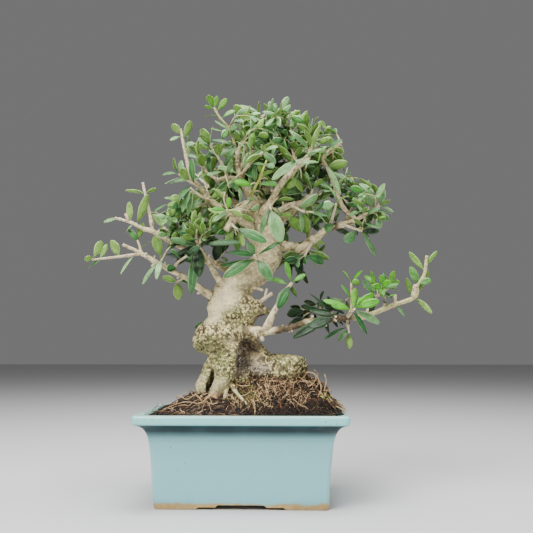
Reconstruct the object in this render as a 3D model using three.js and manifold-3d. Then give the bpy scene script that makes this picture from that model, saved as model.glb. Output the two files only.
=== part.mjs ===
// Olive bonsai in a glazed rectangular pot, in millimetres, +Z up.
// The model is laid out about the middle of the pot: +X to the right of the
// display front, +Y away from it, ground at z = 0. The finished group is then
// moved so that its origin is the bottom centre of its bounding box.
import * as THREE from 'three';
import { mergeVertices } from 'three/addons/utils/BufferGeometryUtils.js';
import Module from 'manifold-3d';

const wasm = await Module();
wasm.setup();

// ---------------------------------------------------------------------------
// Driving dimensions
// ---------------------------------------------------------------------------

// Pot: outside size of the rim, then half-widths of the front face by height.
const POT = {
  rimWidth: 183,
  rimDepth: 135,
  height: 78.2,
  cornerRadius: 6,
  cornerSteps: 3,
  floorTop: 10,
  floorUnder: 5.5,
};

// Outside profile of the pot: [height, inset from the rim's outer face].
const POT_OUTSIDE = [
  [0, 17.7], [39.5, 14.7], [54, 13.1], [62, 11.1], [66.8, 8.2], [70, 2], [72.4, 0], [76.4, 0],
  [78.2, 1.8],
];

// Inside profile from the rim's inner edge down to the floor.
const POT_INSIDE = [[78.2, 6.8], [77.2, 8.2], [66, 13.6], [52, 17.8], [10, 21.4]];

// Stepped cut-outs in the foot ring: [half-width, height] of each step.
const FOOT_STEPS = [[36, 1.7], [19.5, 3.6]];
const FOOT_STEPS_SIDE = [[24, 1.7], [13, 3.6]];
const FOOT_RING_WIDTH = 7;
const DRAIN_HOLE = { radius: 7, spacing: 76, sides: 14 };

// Drainage screens, one over each drain hole.
const SCREEN = { side: 30, thickness: 0.9, hole: 6, pitch: 10, count: 2, seat: 0.3 };

// Soil mound: [x, y, height, half-length, half-depth] of each rise on the bed. It
// meets the wall no higher than its edge, or than its heap at the right.
const SOIL_LEVEL = 74.2;
const SOIL_BOTTOM = 11.5;
const SOIL_GAP = 0.3;
const SOIL_RISES = [
  [-30, -8, 15, 34, 32], [43, 3, 27, 36, 32], [8, 2, 20, 44, 34], [71, -8, 9, 14, 34],
  [-56, -10, 4, 18, 34],
];
const SOIL_RINGS = [1, 0.93, 0.8, 0.6, 0.4, 0.2];
const SOIL_CELL = 30;
const SOIL_EDGE = 76;
const SOIL_HEAP = { height: 8, from: 45, to: 70 };
const SOIL_HEADROOM = 40;
const FIBRE = { count: 10, radius: 0.6, seed: 907, least: 9, most: 24 };

// Clearance kept between two nodes that touch on the real tree.
const SEAT_GAP = 0.3;

// Trunk and main branches: [x, y, z, radius] along each, then sides and depth.
const LIMBS = [
  { name: 'core', sides: 13, depth: 0.92, relief: 0.05, route: [
    [-4, 4, 66, 15], [-6, 4, 91, 19], [-9, 4, 110, 18], [-13, 3, 124, 19.5], [-15, 1, 134, 22.5],
    [-16, 0, 145, 25], [-14, 0, 154, 23.5], [-12.5, 0, 161, 21.8], [-12, 0, 169, 22.8],
    [-11.5, 0, 178, 23], [-10, 0, 186, 20], [-6, 0, 194, 15.5], [6, 1, 203, 13.5],
    [17, 2, 213, 13], [22, 3, 225, 13.5], [19, 3, 238, 13.5], [14, 2, 249, 12.5],
    [12, 0, 261, 9.5], [10, 0, 271, 7]] },
  { name: 'burl_left', sides: 9, depth: 1, relief: 0.05, route: [
    [-8, -3, 146, 20], [-22, -5, 145, 20.5], [-34, -5, 143, 17], [-43, -4, 141, 11],
    [-48, -4, 140.5, 5]] },
  { name: 'leg_left', sides: 7, depth: 1, relief: 0.05, route: [
    [-17, -6, 136, 12], [-26, -9, 122, 8.2], [-34, -11, 107, 7.2], [-37, -11, 97, 7.3],
    [-35, -11, 87, 6.2], [-33, -10, 74, 4]] },
  { name: 'leg_front', sides: 7, depth: 1, relief: 0.05, route: [
    [-8, -9, 135, 15], [-14, -15, 117, 11.5], [-19, -19, 105, 8.6], [-25, -22, 93, 6.3],
    [-28, -24, 85, 5], [-29, -25, 73, 3.6]] },
  { name: 'root_middle', sides: 5, depth: 1, relief: 0, route: [
    [-14, -17, 106, 2.6], [-15, -24, 96, 1.7], [-17, -28, 87, 1.3], [-18, -29, 78, 1]] },
  { name: 'root_right', sides: 5, depth: 1, relief: 0, route: [
    [-13, -17, 104, 2.6], [-6, -26, 95, 1.5], [3, -33, 86, 1.2], [8, -36, 77, 1]] },
  { name: 'stump', sides: 9, depth: 1.1, relief: 0.05, route: [
    [-5, 8, 122, 16], [8, 5, 118, 14.5], [22, 1, 116, 13], [37, -4, 115.5, 12.8],
    [47, -8, 115, 12.6], [50.5, -10, 114, 12]] },
  { name: 'shoulder', sides: 7, depth: 1, relief: 0.05, route: [
    [-8, 6, 148, 15], [-1, 5, 138, 13.5], [8, 3, 127, 13], [19, 1, 117, 12]] },
  { name: 'burl', sides: 7, depth: 1, relief: 0.06, route: [
    [-4, -4, 168, 17], [8, -8, 167.5, 13], [15, -10, 167, 8], [23.5, -11, 167.5, 3.2]] },
  { name: 'branch_left_low', sides: 5, depth: 1, relief: 0, route: [
    [-27, -5, 180, 4.2], [-41, -10, 189, 3], [-54, -14, 199, 2.5], [-67, -16, 205, 2.3],
    [-81, -18, 213, 2.2], [-95, -18, 221, 2]] },
  { name: 'branch_left_shelf', sides: 5, depth: 1, relief: 0, route: [
    [-3, 6, 200, 4.4], [-24, 4, 212, 3], [-43, 0, 221, 2.6], [-58, -4, 228, 2.4],
    [-70, -7, 234, 2.2], [-86, -10, 243, 2.3], [-96, -11, 246, 2.1]] },
  { name: 'branch_left_front', sides: 5, depth: 1, relief: 0, route: [
    [-14, -7, 185, 4.6], [-23, -13, 196, 3], [-31, -17, 210, 2.5], [-38, -20, 222, 2.3]] },
  { name: 'branch_left_high', sides: 5, depth: 1, relief: 0, route: [
    [14, 0, 245, 6], [1, -5, 252, 4.2], [-19, -9, 263, 3.3], [-32, -12, 272, 2.9],
    [-39, -14, 281, 2.7], [-49, -16, 291, 2.4]] },
  { name: 'branch_cut_front', sides: 5, depth: 1, relief: 0, route: [
    [10, -3, 268, 5], [4, -14, 268, 4], [-6, -22, 257, 3.6], [-16, -28, 241, 3.1]] },
  { name: 'leader', sides: 6, depth: 1, relief: 0, route: [
    [10, 0, 268, 6], [2, -3, 284, 3.8], [-5, -5, 297, 2.8], [-8, -5, 313, 2.3]] },
  { name: 'leader_side', sides: 5, depth: 1, relief: 0, route: [
    [-3, -4, 294, 2.3], [-16, -8, 295, 2], [-26, -11, 292, 1.8]] },
  { name: 'branch_right_high', sides: 5, depth: 1, relief: 0, route: [
    [13, -1, 258, 5.2], [24, -10, 270, 3.5], [32, -15, 284, 2.9], [45, -18, 298, 2.6],
    [60, -18, 311, 2.3]] },
  { name: 'branch_right_arc', sides: 5, depth: 1, relief: 0, route: [
    [16, -2, 252, 5], [31, -9, 261, 3], [43, -10, 268, 2.5], [57, -7, 271, 2.2]] },
  { name: 'branch_right', sides: 8, depth: 1, relief: 0.04, route: [
    [19, 3, 232, 9], [39, 6, 231, 5.4], [52, 8, 229, 4.6], [66, 8, 238.5, 3.7],
    [80, 8, 248.5, 3.2], [93, 6, 252, 2.9], [106, 4, 256, 2.5]] },
  { name: 'branch_right_low', sides: 7, depth: 1, relief: 0.04, route: [
    [-8, -5, 151, 10], [6, -12, 149.5, 5.5], [22, -16, 149.5, 3.5], [39, -17, 152, 2.9],
    [56, -15, 157, 3.2], [74, -13, 160, 3.1], [94, -12, 162, 2.9], [111, -12, 163, 2.7]] },
  { name: 'branch_right_knob', sides: 5, depth: 1, relief: 0, route: [
    [20, -16, 151, 4.2], [28, -18, 168, 2.6], [37, -20, 182, 2.3]] },
  { name: 'branch_back_high', sides: 5, depth: 1, relief: 0, route: [
    [11, 1, 260, 6.5], [15, 20, 282, 4.8], [21, 36, 300, 3.2]] },
  { name: 'branch_back_left', sides: 5, depth: 1, relief: 0, route: [
    [13, 2, 251, 6], [-7, 24, 273, 4.4], [-24, 38, 290, 3]] },
  { name: 'branch_back_right', sides: 5, depth: 1, relief: 0, route: [
    [19, 5, 240, 6], [33, 26, 259, 4.4], [49, 44, 276, 3]] },
  { name: 'branch_back_low', sides: 5, depth: 1, relief: 0, route: [
    [19, 5, 222, 6.5], [9, 30, 238, 4.2], [-4, 50, 253, 3]] },
];

// Rotten cleft in the front of the trunk base.
const CLEFT = [[2, -28, 106, 3], [1, -23, 117, 6], [0, -22, 129, 7.5], [-1, -24, 141, 4]];

// Leafy sprays: name, twig route, base radius, pairs of leaves by the rule, and
// leaves set by hand as [place along the twig, x, y, z of the blade, width, turn].
// The turn is the angle of the upper face from the sky towards the display front.
const SPRAYS = [
  ['left_tip', [[-95, -18, 221], [-116, -20, 218], [-140, -22, 215]], 1.5, 0, [
    [1.0, 9, -3, 17, 8, -70],
    [0.84, 5, 4, 14, 5, -60],
    [0.46, -7, -2, 15, 9.5, -75],
    [1.0, -6, -5, 1, 7, -60],
    [0.77, -15, 2, -8, 5.5, 50],
    [0.07, -13, -4, -18, 4.5, 25],
  ]],
  ['left_fork', [[-95, -18, 221], [-98, -14, 229], [-101, -10, 235]], 1.5, 0, [
    [1.0, 4, 2, 17, 8.5, -80],
    [0.93, -9, 0, 12, 6, 70],
    [0.19, 11, -3, 7, 4.5, 30],
  ]],
  ['left_spur', [[-78, -18, 211], [-75, -23, 215]], 1.5, 0, [
    [0.85, -6, -3, 22, 10.5, -75],
    [0.3, -17, -6, -22, 5, 25],
    [0.15, -3, -9, -18, 6, 60],
  ]],
  ['left_mass', [[-67, -16, 205], [-59, -28, 212], [-50, -38, 216]], 1.5, 3, [
  ]],
  ['left_low', [[-56, -14, 199], [-61, -8, 197], [-65, -2, 196]], 1.4, 1, [
    [1.0, 3, -2, -17, 9.5, -75],
    [0.46, 12, -7, -3, 8, 60],
  ]],
  ['shelf_tip', [[-96, -11, 246], [-108, -12, 252], [-122, -13, 256]], 1.8, 0, [
    [0.87, -14, -2, -3, 5, 50],
    [0.47, -1, -2, 19, 7, -70],
    [0.24, 12, -5, 28, 8.5, -75],
    [0.33, -8, 4, -8, 5, 40],
  ]],
  ['shelf_up', [[-86, -10, 243], [-92, -11, 269], [-97, -11, 290]], 1.9, 0, [
    [0.77, -19, 0, 4, 4.5, -40],
    [0.77, 11, -2, 5, 4.5, -40],
    [0.33, 16, -2, 11, 5, 50],
    [0.11, 21, -5, 5, 4.5, 30],
    [0.63, -7, -7, -11, 5, 60],
  ]],
  ['shelf_mid', [[-70, -7, 234], [-66, -2, 244], [-63, 3, 255]], 1.5, 1, [
    [1.0, -8, -2, 16, 10.5, -75],
    [0.45, -4, -8, 9, 9, -70],
  ]],
  ['shelf_back', [[-58, -4, 228], [-69, 14, 243], [-84, 30, 254]], 1.5, 3, [
  ]],
  ['whorl_left', [[-38, -20, 222], [-40, -24, 224], [-42, -27, 227]], 2.0, 0, [
    [1.0, -16, -5, 13, 8, 65],
    [0.86, -24, -9, 6, 7, 70],
    [0.89, 13, -6, 15, 4.5, -60],
    [0.55, 13, 4, 14, 7, 60],
    [0.7, -22, 2, -6, 6.5, 60],
    [0.7, 2, -7, -31, 13, 80],
    [0.35, -7, 5, -43, 9.5, 85],
    [0.35, 39, -10, 3, 7, 70],
  ]],
  ['heart_left', [[-29, -16, 210], [-26, -8, 217], [-20, 0, 225]], 1.5, 3, [
  ]],
  ['upleft_tip', [[-39, -14, 281], [-50, -25, 287], [-60, -30, 293]], 1.5, 4, [
  ]],
  ['upleft_mast', [[-49, -16, 291], [-53, -15, 303], [-57, -15, 320], [-61, -14, 341]], 2.0, 0, [
    [0.88, -9, -3, 10, 7.5, -60],
    [0.86, -11, -3, -4, 4.5, 50],
    [0.78, 8, -3, 18, 7.5, -75],
    [0.69, 11, -5, 0, 6.5, 60],
  ]],
  ['upleft_hang', [[-32, -12, 272], [-41, -24, 274], [-49, -30, 280]], 1.5, 0, [
    [1.0, -7, -3, -23, 6, 75],
    [0.87, -5, 2, -24, 5.5, 75],
    [0.36, -13, -8, -12, 7, 60],
  ]],
  ['upleft_back', [[-32, -12, 272], [-44, 6, 271], [-59, 22, 272]], 1.5, 3, [
  ]],
  ['crown_left_low', [[-26, -11, 292], [-36, -14, 299], [-43, -16, 310]], 1.6, 3, [
  ]],
  ['crown_left_mid', [[-16, -8, 295], [-23, -20, 309], [-32, -24, 322]], 1.6, 3, [
    [0.98, -8, -2, 16, 8.5, -75],
    [0.89, -13, -3, 10, 8, 60],
  ]],
  ['crown_mast', [[-8, -5, 313], [-6, -8, 322], [-5, -10, 328]], 2.0, 1, [
    [0.82, -33, -9, -16, 6, 60],
    [1.0, -6, -3, 13, 5.5, 80],
    [0.71, -26, 0, 10, 6.5, 50],
    [0.94, 14, -4, 11, 5.5, 60],
  ]],
  ['top_sprig', [[-5, -5, 297], [-10, 8, 327], [-16, 4, 346], [-26, 0, 358], [-31, -1, 367]], 1.7, 3, [
    [1.0, -6, -2, 11, 5, -75],
    [1.0, 3, -3, 11, 5.5, -75],
    [0.94, 10, -1, 13, 6.5, -75],
    [0.98, -10, 0, 3, 4.5, -50],
    [0.87, -15, -2, 0, 4.5, 30],
    [0.83, 13, -1, 9, 5.5, 50],
  ]],
  ['top_curl', [[-5, -5, 303], [1, 8, 335], [10, 10, 353], [19, 10, 364]], 1.8, 0, [
    [0.77, -21, -4, 20, 12, -70],
    [0.93, -23, 4, 16, 5, 40],
  ]],
  ['top_peak', [[21, 36, 300], [23, 26, 332], [25, 12, 350], [28, 5, 360]], 1.8, 2, [
    [1.0, -5, -2, 15, 7, 75],
    [0.96, -10, -4, 14, 4.5, -70],
    [0.99, 10, -3, 9, 5.5, -60],
    [0.94, 14, -4, 7, 5.5, 60],
  ]],
  ['upr_tip', [[60, -18, 311], [62, -19, 319], [63, -18, 329]], 1.8, 2, [
    [0.09, -19, -4, 20, 6.5, 60],
    [0.3, 9, -5, 23, 5.5, -75],
    [0.95, -5, -1, 16, 5, -75],
    [0.95, 9, 0, 18, 5, -70],
  ]],
  ['upr_front', [[45, -18, 298], [52, -30, 303], [58, -36, 308]], 1.6, 2, [
    [0.94, -31, -5, -22, 10.5, 70],
    [0.77, 17, -3, 10, 6.5, 60],
  ]],
  ['high_right', [
    [106, 4, 256], [93, -3, 267], [84, -7, 289], [78, -9, 304], [74, -9, 313], [82, -7, 324],
    [91, -5, 329]], 2.2, 0, [
    [0.71, 15, -8, -34, 5.5, 65],
    [0.6, 17, -4, -11, 5, 40],
    [0.63, 19, 2, 6, 10, -70],
    [0.89, 12, -4, -6, 5, -50],
  ]],
  ['arc_tip', [[57, -7, 271], [61, -8, 275], [64, -8, 283]], 1.7, 2, [
    [0.34, -30, -6, 2, 8.5, 60],
  ]],
  ['arc_low', [[43, -10, 268], [55, -18, 260], [64, -24, 258]], 1.5, 3, [
  ]],
  ['young_shoot', [[4, -5, 278], [9, -18, 281], [15, -22, 292], [21, -24, 307]], 1.5, 0, [
    [0.98, 0, -2, 9, 5, 75],
    [0.93, 8, -4, -5, 7, 70],
    [0.4, -19, -7, 4, 9, 65],
    [0.42, 20, -7, 0, 5.5, 60],
  ]],
  ['right_tip', [[106, 4, 256], [117, 2, 262], [128, 0, 269]], 2.2, 0, [
    [1.0, 3, -4, 17, 8.5, 75],
    [0.84, -12, -5, 12, 9, 70],
    [1.0, 13, -2, -6, 4.5, 35],
    [0.5, 16, -9, -7, 9, -60],
    [1.0, 10, -2, 5, 4.5, -50],
  ]],
  ['right_top', [[93, 6, 252], [108, 16, 273], [119, 20, 286]], 1.6, 2, [
    [1.0, 0, -2, 11, 7, -75],
    [0.94, 12, 0, 6, 5.5, 60],
  ]],
  ['right_low', [[93, 6, 252], [103, -4, 246], [110, -9, 243]], 1.5, 1, [
    [0.96, 13, -3, -24, 6.5, 70],
    [0.78, -12, -6, -13, 10.5, 75],
  ]],
  ['right_front', [[80, 8, 248.5], [83, -14, 258], [85, -22, 266]], 1.6, 2, [
    [1.0, -13, -3, -2, 8.5, 75],
  ]],
  ['under_right', [[66, 8, 238.5], [60, 1, 228], [56, -3, 220]], 1.6, 1, [
    [1.0, 18, 2, -6, 10.5, 60],
    [0.94, -15, -5, -8, 10, 65],
    [0.7, 21, -6, -9, 7, -60],
  ]],
  ['right_back', [[80, 8, 248.5], [90, 30, 253], [104, 48, 264]], 1.6, 3, [
  ]],
  ['inner_right', [[52, 8, 229], [60, 16, 241], [64, 20, 251]], 1.5, 2, [
    [0.68, -19, -6, 17, 11.5, -75],
  ]],
  ['front_hang', [[24, -10, 269], [24, -22, 264], [25, -28, 260]], 1.6, 0, [
    [1.0, 9, -7, -31, 14, 80],
    [0.76, -9, -3, -24, 6.5, 70],
  ]],
  ['front_stub', [[-6, -22, 257], [-10, -30, 258], [-15, -36, 258]], 1.5, 0, [
    [0.93, 15, -6, -6, 8, -60],
    [1.0, -13, -2, 1, 5, 60],
    [0.84, -16, 4, -9, 7.5, 60],
    [0.86, 1, -4, 11, 5, 70],
  ]],
  ['front_low', [[-12, -26, 248], [-8, -32, 243], [-5, -36, 241]], 1.4, 0, [
    [0.9, 27, -6, -13, 10.5, 70],
  ]],
  ['whorl_centre', [[15, -3, 208], [13, -20, 213], [10, -28, 218]], 1.6, 0, [
    [0.96, -22, -5, 3, 7, 70],
    [0.96, -6, -2, 12, 8, 70],
    [0.9, 24, -6, 14, 5.5, 65],
    [0.82, -29, -6, -17, 10.5, 75],
    [0.76, 14, -8, -20, 11, 75],
    [0.68, -35, 4, -3, 6.5, 65],
  ]],
  ['knob_whorl', [[37, -20, 182], [40, -22, 188], [44, -23, 193]], 2.3, 0, [
    [0.93, -5, -2, 20, 6, 75],
    [0.98, 12, -3, 8, 5.5, 65],
    [0.76, -17, 5, 7, 5.5, 60],
    [0.76, -11, -13, -21, 10, 75],
    [0.66, 6, 4, -10, 5, -60],
  ]],
  ['low_whorl', [[94, -12, 162], [97, -20, 166], [100, -27, 169]], 1.9, 0, [
    [0.76, -19, -5, 5, 6.5, 65],
    [0.72, -26, 2, 11, 7, 60],
    [1.0, 17, -4, 14, 8, 70],
    [1.0, 20, -8, 7, 8.5, 65],
    [0.88, 23, -3, -12, 7.5, 65],
    [0.76, 13, 2, -21, 5.5, 70],
    [0.88, 2, 3, 20, 7, -75],
  ]],
  ['low_upright', [[96, -12, 162], [99, -8, 174], [99, -8, 194]], 1.6, 1, [
    [0.97, 7, -3, 3, 7, -60],
    [0.54, -9, -3, 14, 4.5, 40],
  ]],
  ['low_tip', [
    [111, -12, 163], [136, -12, 173], [157, -12, 181], [159, -11, 191], [166, -10, 201],
    [169, -10, 219]], 2.4, 0, [
    [0.33, 8, -3, -11, 4.5, 50],
    [0.68, -7, -4, 16, 8, 75],
    [0.68, 11, -4, 4, 7, 60],
    [0.53, -6, 3, 18, 6, -70],
    [0.56, 13, 4, 23, 7, -75],
    [0.54, 15, -2, -15, 5.5, -60],
    [0.84, -14, -1, 18, 6, -75],
    [0.87, 11, 0, 16, 4.5, -50],
  ]],
  ['low_side', [[111, -12, 163], [119, 0, 178], [134, 5, 190]], 1.5, 1, [
    [0.69, -6, -3, 24, 4.5, -40],
    [0.98, -3, -3, 11, 6.5, -75],
    [0.98, 12, 0, 8, 8.5, -70],
  ]],
  ['low_left', [[74, -13, 160], [79, -23, 161], [83, -29, 162]], 1.6, 0, [
    [0.98, -23, -7, -9, 12, 75],
    [0.58, -34, -3, -17, 9.5, 70],
    [0.78, -21, 2, 23, 4.5, 40],
    [0.94, -23, 2, 7, 8.5, 60],
  ]],
  ['low_back', [[74, -13, 160], [75, 10, 168], [70, 26, 175]], 1.5, 3, [
  ]],
  ['low_down', [[94, -12, 162], [95, -12, 154], [96, -12, 148]], 1.5, 0, [
    [1.0, 0, -2, -15, 6.5, -75],
    [0.8, -10, -3, -10, 5, 60],
    [0.62, -22, -4, -10, 4.5, 35],
  ]],
  ['crown_back', [[21, 36, 300], [14, 50, 329], [5, 54, 352]], 1.7, 4, [
  ]],
  ['crown_back_right', [[21, 36, 300], [43, 48, 319], [60, 50, 339]], 1.7, 4, [
  ]],
  ['crown_back_left', [[-24, 38, 290], [-44, 52, 304], [-62, 58, 321]], 1.7, 4, [
  ]],
  ['crown_front', [[-5, -5, 297], [7, -32, 303], [18, -44, 309]], 1.6, 3, [
    [0.96, -14, -2, -9, 6, -50],
    [1.0, 12, -4, -11, 7, 60],
  ]],
  ['crown_mid', [[45, -18, 298], [47, 0, 326], [43, 4, 347]], 1.7, 4, [
  ]],
  ['crown_right', [[60, -18, 311], [68, 4, 329], [65, 10, 349]], 1.7, 3, [
  ]],
  ['back_low', [[-4, 50, 253], [-16, 66, 262], [-30, 78, 267]], 1.7, 4, [
  ]],
  ['back_right', [[49, 44, 276], [66, 60, 288], [83, 68, 301]], 1.7, 4, [
  ]],
  ['back_centre', [[49, 44, 276], [37, 66, 285], [24, 82, 298]], 1.7, 4, [
  ]],
];

// Leaf rule: size and angle of the pairs that follow it.
const LEAF = {
  length: 20.5, width: 8, thickness: 1, spread: 0.98, tipSpread: 0.62, seed: 4211,
  arch: 0.07, droop: 0.06, fold: 0.2,
};
const TWIG = { stout: 1.7, tip: 0.62, clear: 0.6, straight: 2 };

// ---------------------------------------------------------------------------
// Small helpers
// ---------------------------------------------------------------------------

function randomStream(seed) {
  let state = seed >>> 0;
  return () => {
    state = (state + 0x6d2b79f5) >>> 0;
    let t = state;
    t = Math.imul(t ^ (t >>> 15), t | 1);
    t ^= t + Math.imul(t ^ (t >>> 7), t | 61);
    return ((t ^ (t >>> 14)) >>> 0) / 4294967296;
  };
}

const add = (a, b, k = 1) => [a[0] + b[0] * k, a[1] + b[1] * k, a[2] + b[2] * k];
const sub = (a, b) => [a[0] - b[0], a[1] - b[1], a[2] - b[2]];
const scale = (a, k) => [a[0] * k, a[1] * k, a[2] * k];
const dot = (a, b) => a[0] * b[0] + a[1] * b[1] + a[2] * b[2];
const length = (a) => Math.sqrt(dot(a, a));
const unit = (a) => scale(a, 1 / length(a));
const cross = (a, b) => [
  a[1] * b[2] - a[2] * b[1],
  a[2] * b[0] - a[0] * b[2],
  a[0] * b[1] - a[1] * b[0],
];
const across = (a, t) => unit(add(a, t, -dot(a, t)));

// A closed solid from points and outward triangles.
function solid(points, triangles) {
  const geometry = new THREE.BufferGeometry();
  geometry.setAttribute('position', new THREE.BufferAttribute(new Float32Array(points.flat()), 3));
  geometry.setIndex(triangles.flat());
  const merged = mergeVertices(geometry, 1e-5);
  return new wasm.Manifold(new wasm.Mesh({
    numProp: 3,
    vertProperties: new Float32Array(merged.attributes.position.array),
    triVerts: new Uint32Array(merged.index.array),
  }));
}

// Skins a stack of rings that all hold the same number of points; a ring of one
// point closes that end to a tip.
function loft(rings) {
  const points = [];
  const triangles = [];
  const starts = rings.map((ring) => {
    const start = points.length;
    points.push(...ring);
    return start;
  });
  for (let i = 0; i + 1 < rings.length; i += 1) {
    const n = Math.max(rings[i].length, rings[i + 1].length);
    for (let j = 0; j < n; j += 1) {
      const k = (j + 1) % n;
      const [a, b] = [starts[i], starts[i + 1]];
      if (rings[i].length === 1) {
        triangles.push([a, b + k, b + j]);
      } else if (rings[i + 1].length === 1) {
        triangles.push([a + j, a + k, b]);
      } else {
        triangles.push([a + j, a + k, b + k], [a + j, b + k, b + j]);
      }
    }
  }
  const cap = (ring, start, flip) => {
    for (let j = 1; j + 1 < ring.length; j += 1) {
      triangles.push(flip ? [start, start + j + 1, start + j] : [start, start + j, start + j + 1]);
    }
  };
  cap(rings[0], starts[0], true);
  cap(rings.at(-1), starts.at(-1), false);
  return solid(points, triangles);
}

// Section frames carried along a route without twist.
function frames(route) {
  const tangents = route.map((_, i) => {
    const before = route[Math.max(i - 1, 0)];
    const after = route[Math.min(i + 1, route.length - 1)];
    return unit(sub(after, before));
  });
  const start = Math.abs(tangents[0][0]) < 0.9 ? [1, 0, 0] : [0, 0, -1];
  let side = across(start, tangents[0]);
  return tangents.map((tangent) => {
    side = across(side, tangent);
    return { tangent, side, back: cross(tangent, side) };
  });
}

// Round tube along [x, y, z, radius] stations, with a gentle relief of the bark.
function tube(route, sides, { depth = 1, relief = 0, grow = 0 } = {}) {
  const along = frames(route);
  return loft(route.map(([x, y, z, radius], i) => {
    const { side, back } = along[i];
    return Array.from({ length: sides }, (_, j) => {
      const angle = (j / sides) * 2 * Math.PI;
      const ridges = Math.sin(3 * angle + 0.13 * z) + 0.7 * Math.sin(2 * angle - 0.21 * z);
      const reach = radius * (1 + relief * ridges) + grow;
      const sideways = add([x, y, z], side, reach * Math.cos(angle));
      return add(sideways, back, reach * depth * Math.sin(angle));
    });
  }));
}

// Joins solids in one go.
const join = (solids) => wasm.Manifold.union(solids);

// Keeps the largest body of a solid, and drops any loose scrap.
function largest(shape) {
  const bodies = shape.decompose();
  bodies.sort((a, b) => b.volume() - a.volume());
  return bodies[0];
}

function finish(name, shape, look) {
  const { vertProperties, triVerts } = shape.getMesh();
  const geometry = new THREE.BufferGeometry();
  geometry.setAttribute('position', new THREE.BufferAttribute(new Float32Array(vertProperties), 3));
  geometry.setIndex(new THREE.BufferAttribute(new Uint32Array(triVerts), 1));
  geometry.computeVertexNormals();
  const mesh = new THREE.Mesh(geometry, look);
  mesh.name = name;
  return mesh;
}

// ---------------------------------------------------------------------------
// Looks
// ---------------------------------------------------------------------------

const LOOKS = {
  glaze: new THREE.MeshStandardMaterial({ color: 0xa8c6ca, roughness: 0.25, metalness: 0 }),
  soil: new THREE.MeshStandardMaterial({ color: 0x4a3526, roughness: 0.95, metalness: 0 }),
  screen: new THREE.MeshStandardMaterial({ color: 0x2b2b2b, roughness: 0.6, metalness: 0 }),
  bark: new THREE.MeshStandardMaterial({ color: 0xb3a58a, roughness: 0.9, metalness: 0 }),
  leaf: new THREE.MeshStandardMaterial({ color: 0x4f7a4a, roughness: 0.45, metalness: 0 }),
};

// ---------------------------------------------------------------------------
// Pot
// ---------------------------------------------------------------------------

// Rounded rectangle at one height, counter-clockwise from above.
function potRing(z, inset, radiusLoss = 0) {
  const halfWidth = POT.rimWidth / 2 - inset;
  const halfDepth = POT.rimDepth / 2 - inset;
  const radius = Math.max(POT.cornerRadius - inset * 0.12 - radiusLoss, 3.5);
  const ring = [];
  const corners = [[1, 1], [-1, 1], [-1, -1], [1, -1]];
  corners.forEach(([sx, sy], corner) => {
    for (let i = 0; i <= POT.cornerSteps; i += 1) {
      const angle = (corner + i / POT.cornerSteps) * (Math.PI / 2);
      const x = sx * (halfWidth - radius) + radius * Math.cos(angle);
      const y = sy * (halfDepth - radius) + radius * Math.sin(angle);
      ring.push([x, y, z]);
    }
  });
  return ring;
}

function block([x0, x1], [y0, y1], [z0, z1]) {
  const geometry = new THREE.BoxGeometry(x1 - x0, y1 - y0, z1 - z0);
  geometry.translate((x0 + x1) / 2, (y0 + y1) / 2, (z0 + z1) / 2);
  geometry.deleteAttribute('normal');
  geometry.deleteAttribute('uv');
  const merged = mergeVertices(geometry, 1e-5);
  return new wasm.Manifold(new wasm.Mesh({
    numProp: 3,
    vertProperties: new Float32Array(merged.attributes.position.array),
    triVerts: new Uint32Array(merged.index.array),
  }));
}

// Bar with chamfered ends, cut out of the foot ring along one axis.
function footCut(halfLength, height, reach, alongX) {
  const chamfer = height;
  const section = [
    [-halfLength - chamfer, -1], [halfLength + chamfer, -1],
    [halfLength + chamfer, 0], [halfLength, height], [-halfLength, height],
    [-halfLength - chamfer, 0],
  ];
  const ring = (t) => section.map(([a, z]) => (alongX ? [a, t, z] : [-t, a, z]));
  return loft([ring(reach), ring(-reach)]);
}

function buildPot() {
  const outside = POT_OUTSIDE.map(([z, inset]) => potRing(z, inset));
  const inside = POT_INSIDE.map(([z, inset]) => potRing(z, inset, 2));
  const body = loft([...outside, ...inside]);
  const footInset = POT_OUTSIDE[0][1] + FOOT_RING_WIDTH;
  const recess = loft([potRing(-1, footInset, 2), potRing(POT.floorUnder, footInset + 0.6, 2)]);
  const cuts = [recess];
  FOOT_STEPS.forEach(([half, height]) => cuts.push(footCut(half, height, POT.rimDepth, true)));
  FOOT_STEPS_SIDE.forEach(([half, height]) => cuts.push(footCut(half, height, POT.rimWidth, false)));
  [-1, 1].forEach((side) => {
    const ring = (z) => Array.from({ length: DRAIN_HOLE.sides }, (_, i) => {
      const angle = (i / DRAIN_HOLE.sides) * 2 * Math.PI;
      const x = side * (DRAIN_HOLE.spacing / 2) + DRAIN_HOLE.radius * Math.cos(angle);
      return [x, DRAIN_HOLE.radius * Math.sin(angle), z];
    });
    cuts.push(loft([ring(0), ring(POT.floorTop + 5)]));
  });
  return body.subtract(join(cuts));
}

function buildScreen(side) {
  const middle = side * (DRAIN_HOLE.spacing / 2);
  const low = POT.floorTop + SCREEN.seat;
  const half = SCREEN.side / 2;
  const plate = block([middle - half, middle + half], [-half, half], [low, low + SCREEN.thickness]);
  const holes = [];
  for (let i = 0; i < SCREEN.count; i += 1) {
    for (let j = 0; j < SCREEN.count; j += 1) {
      const x = middle + (i - (SCREEN.count - 1) / 2) * SCREEN.pitch;
      const y = (j - (SCREEN.count - 1) / 2) * SCREEN.pitch;
      const reach = SCREEN.hole / 2;
      holes.push(block([x - reach, x + reach], [y - reach, y + reach], [low - 1, low + 2]));
    }
  }
  return plate.subtract(join(holes));
}

// ---------------------------------------------------------------------------
// Trunk
// ---------------------------------------------------------------------------

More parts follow.
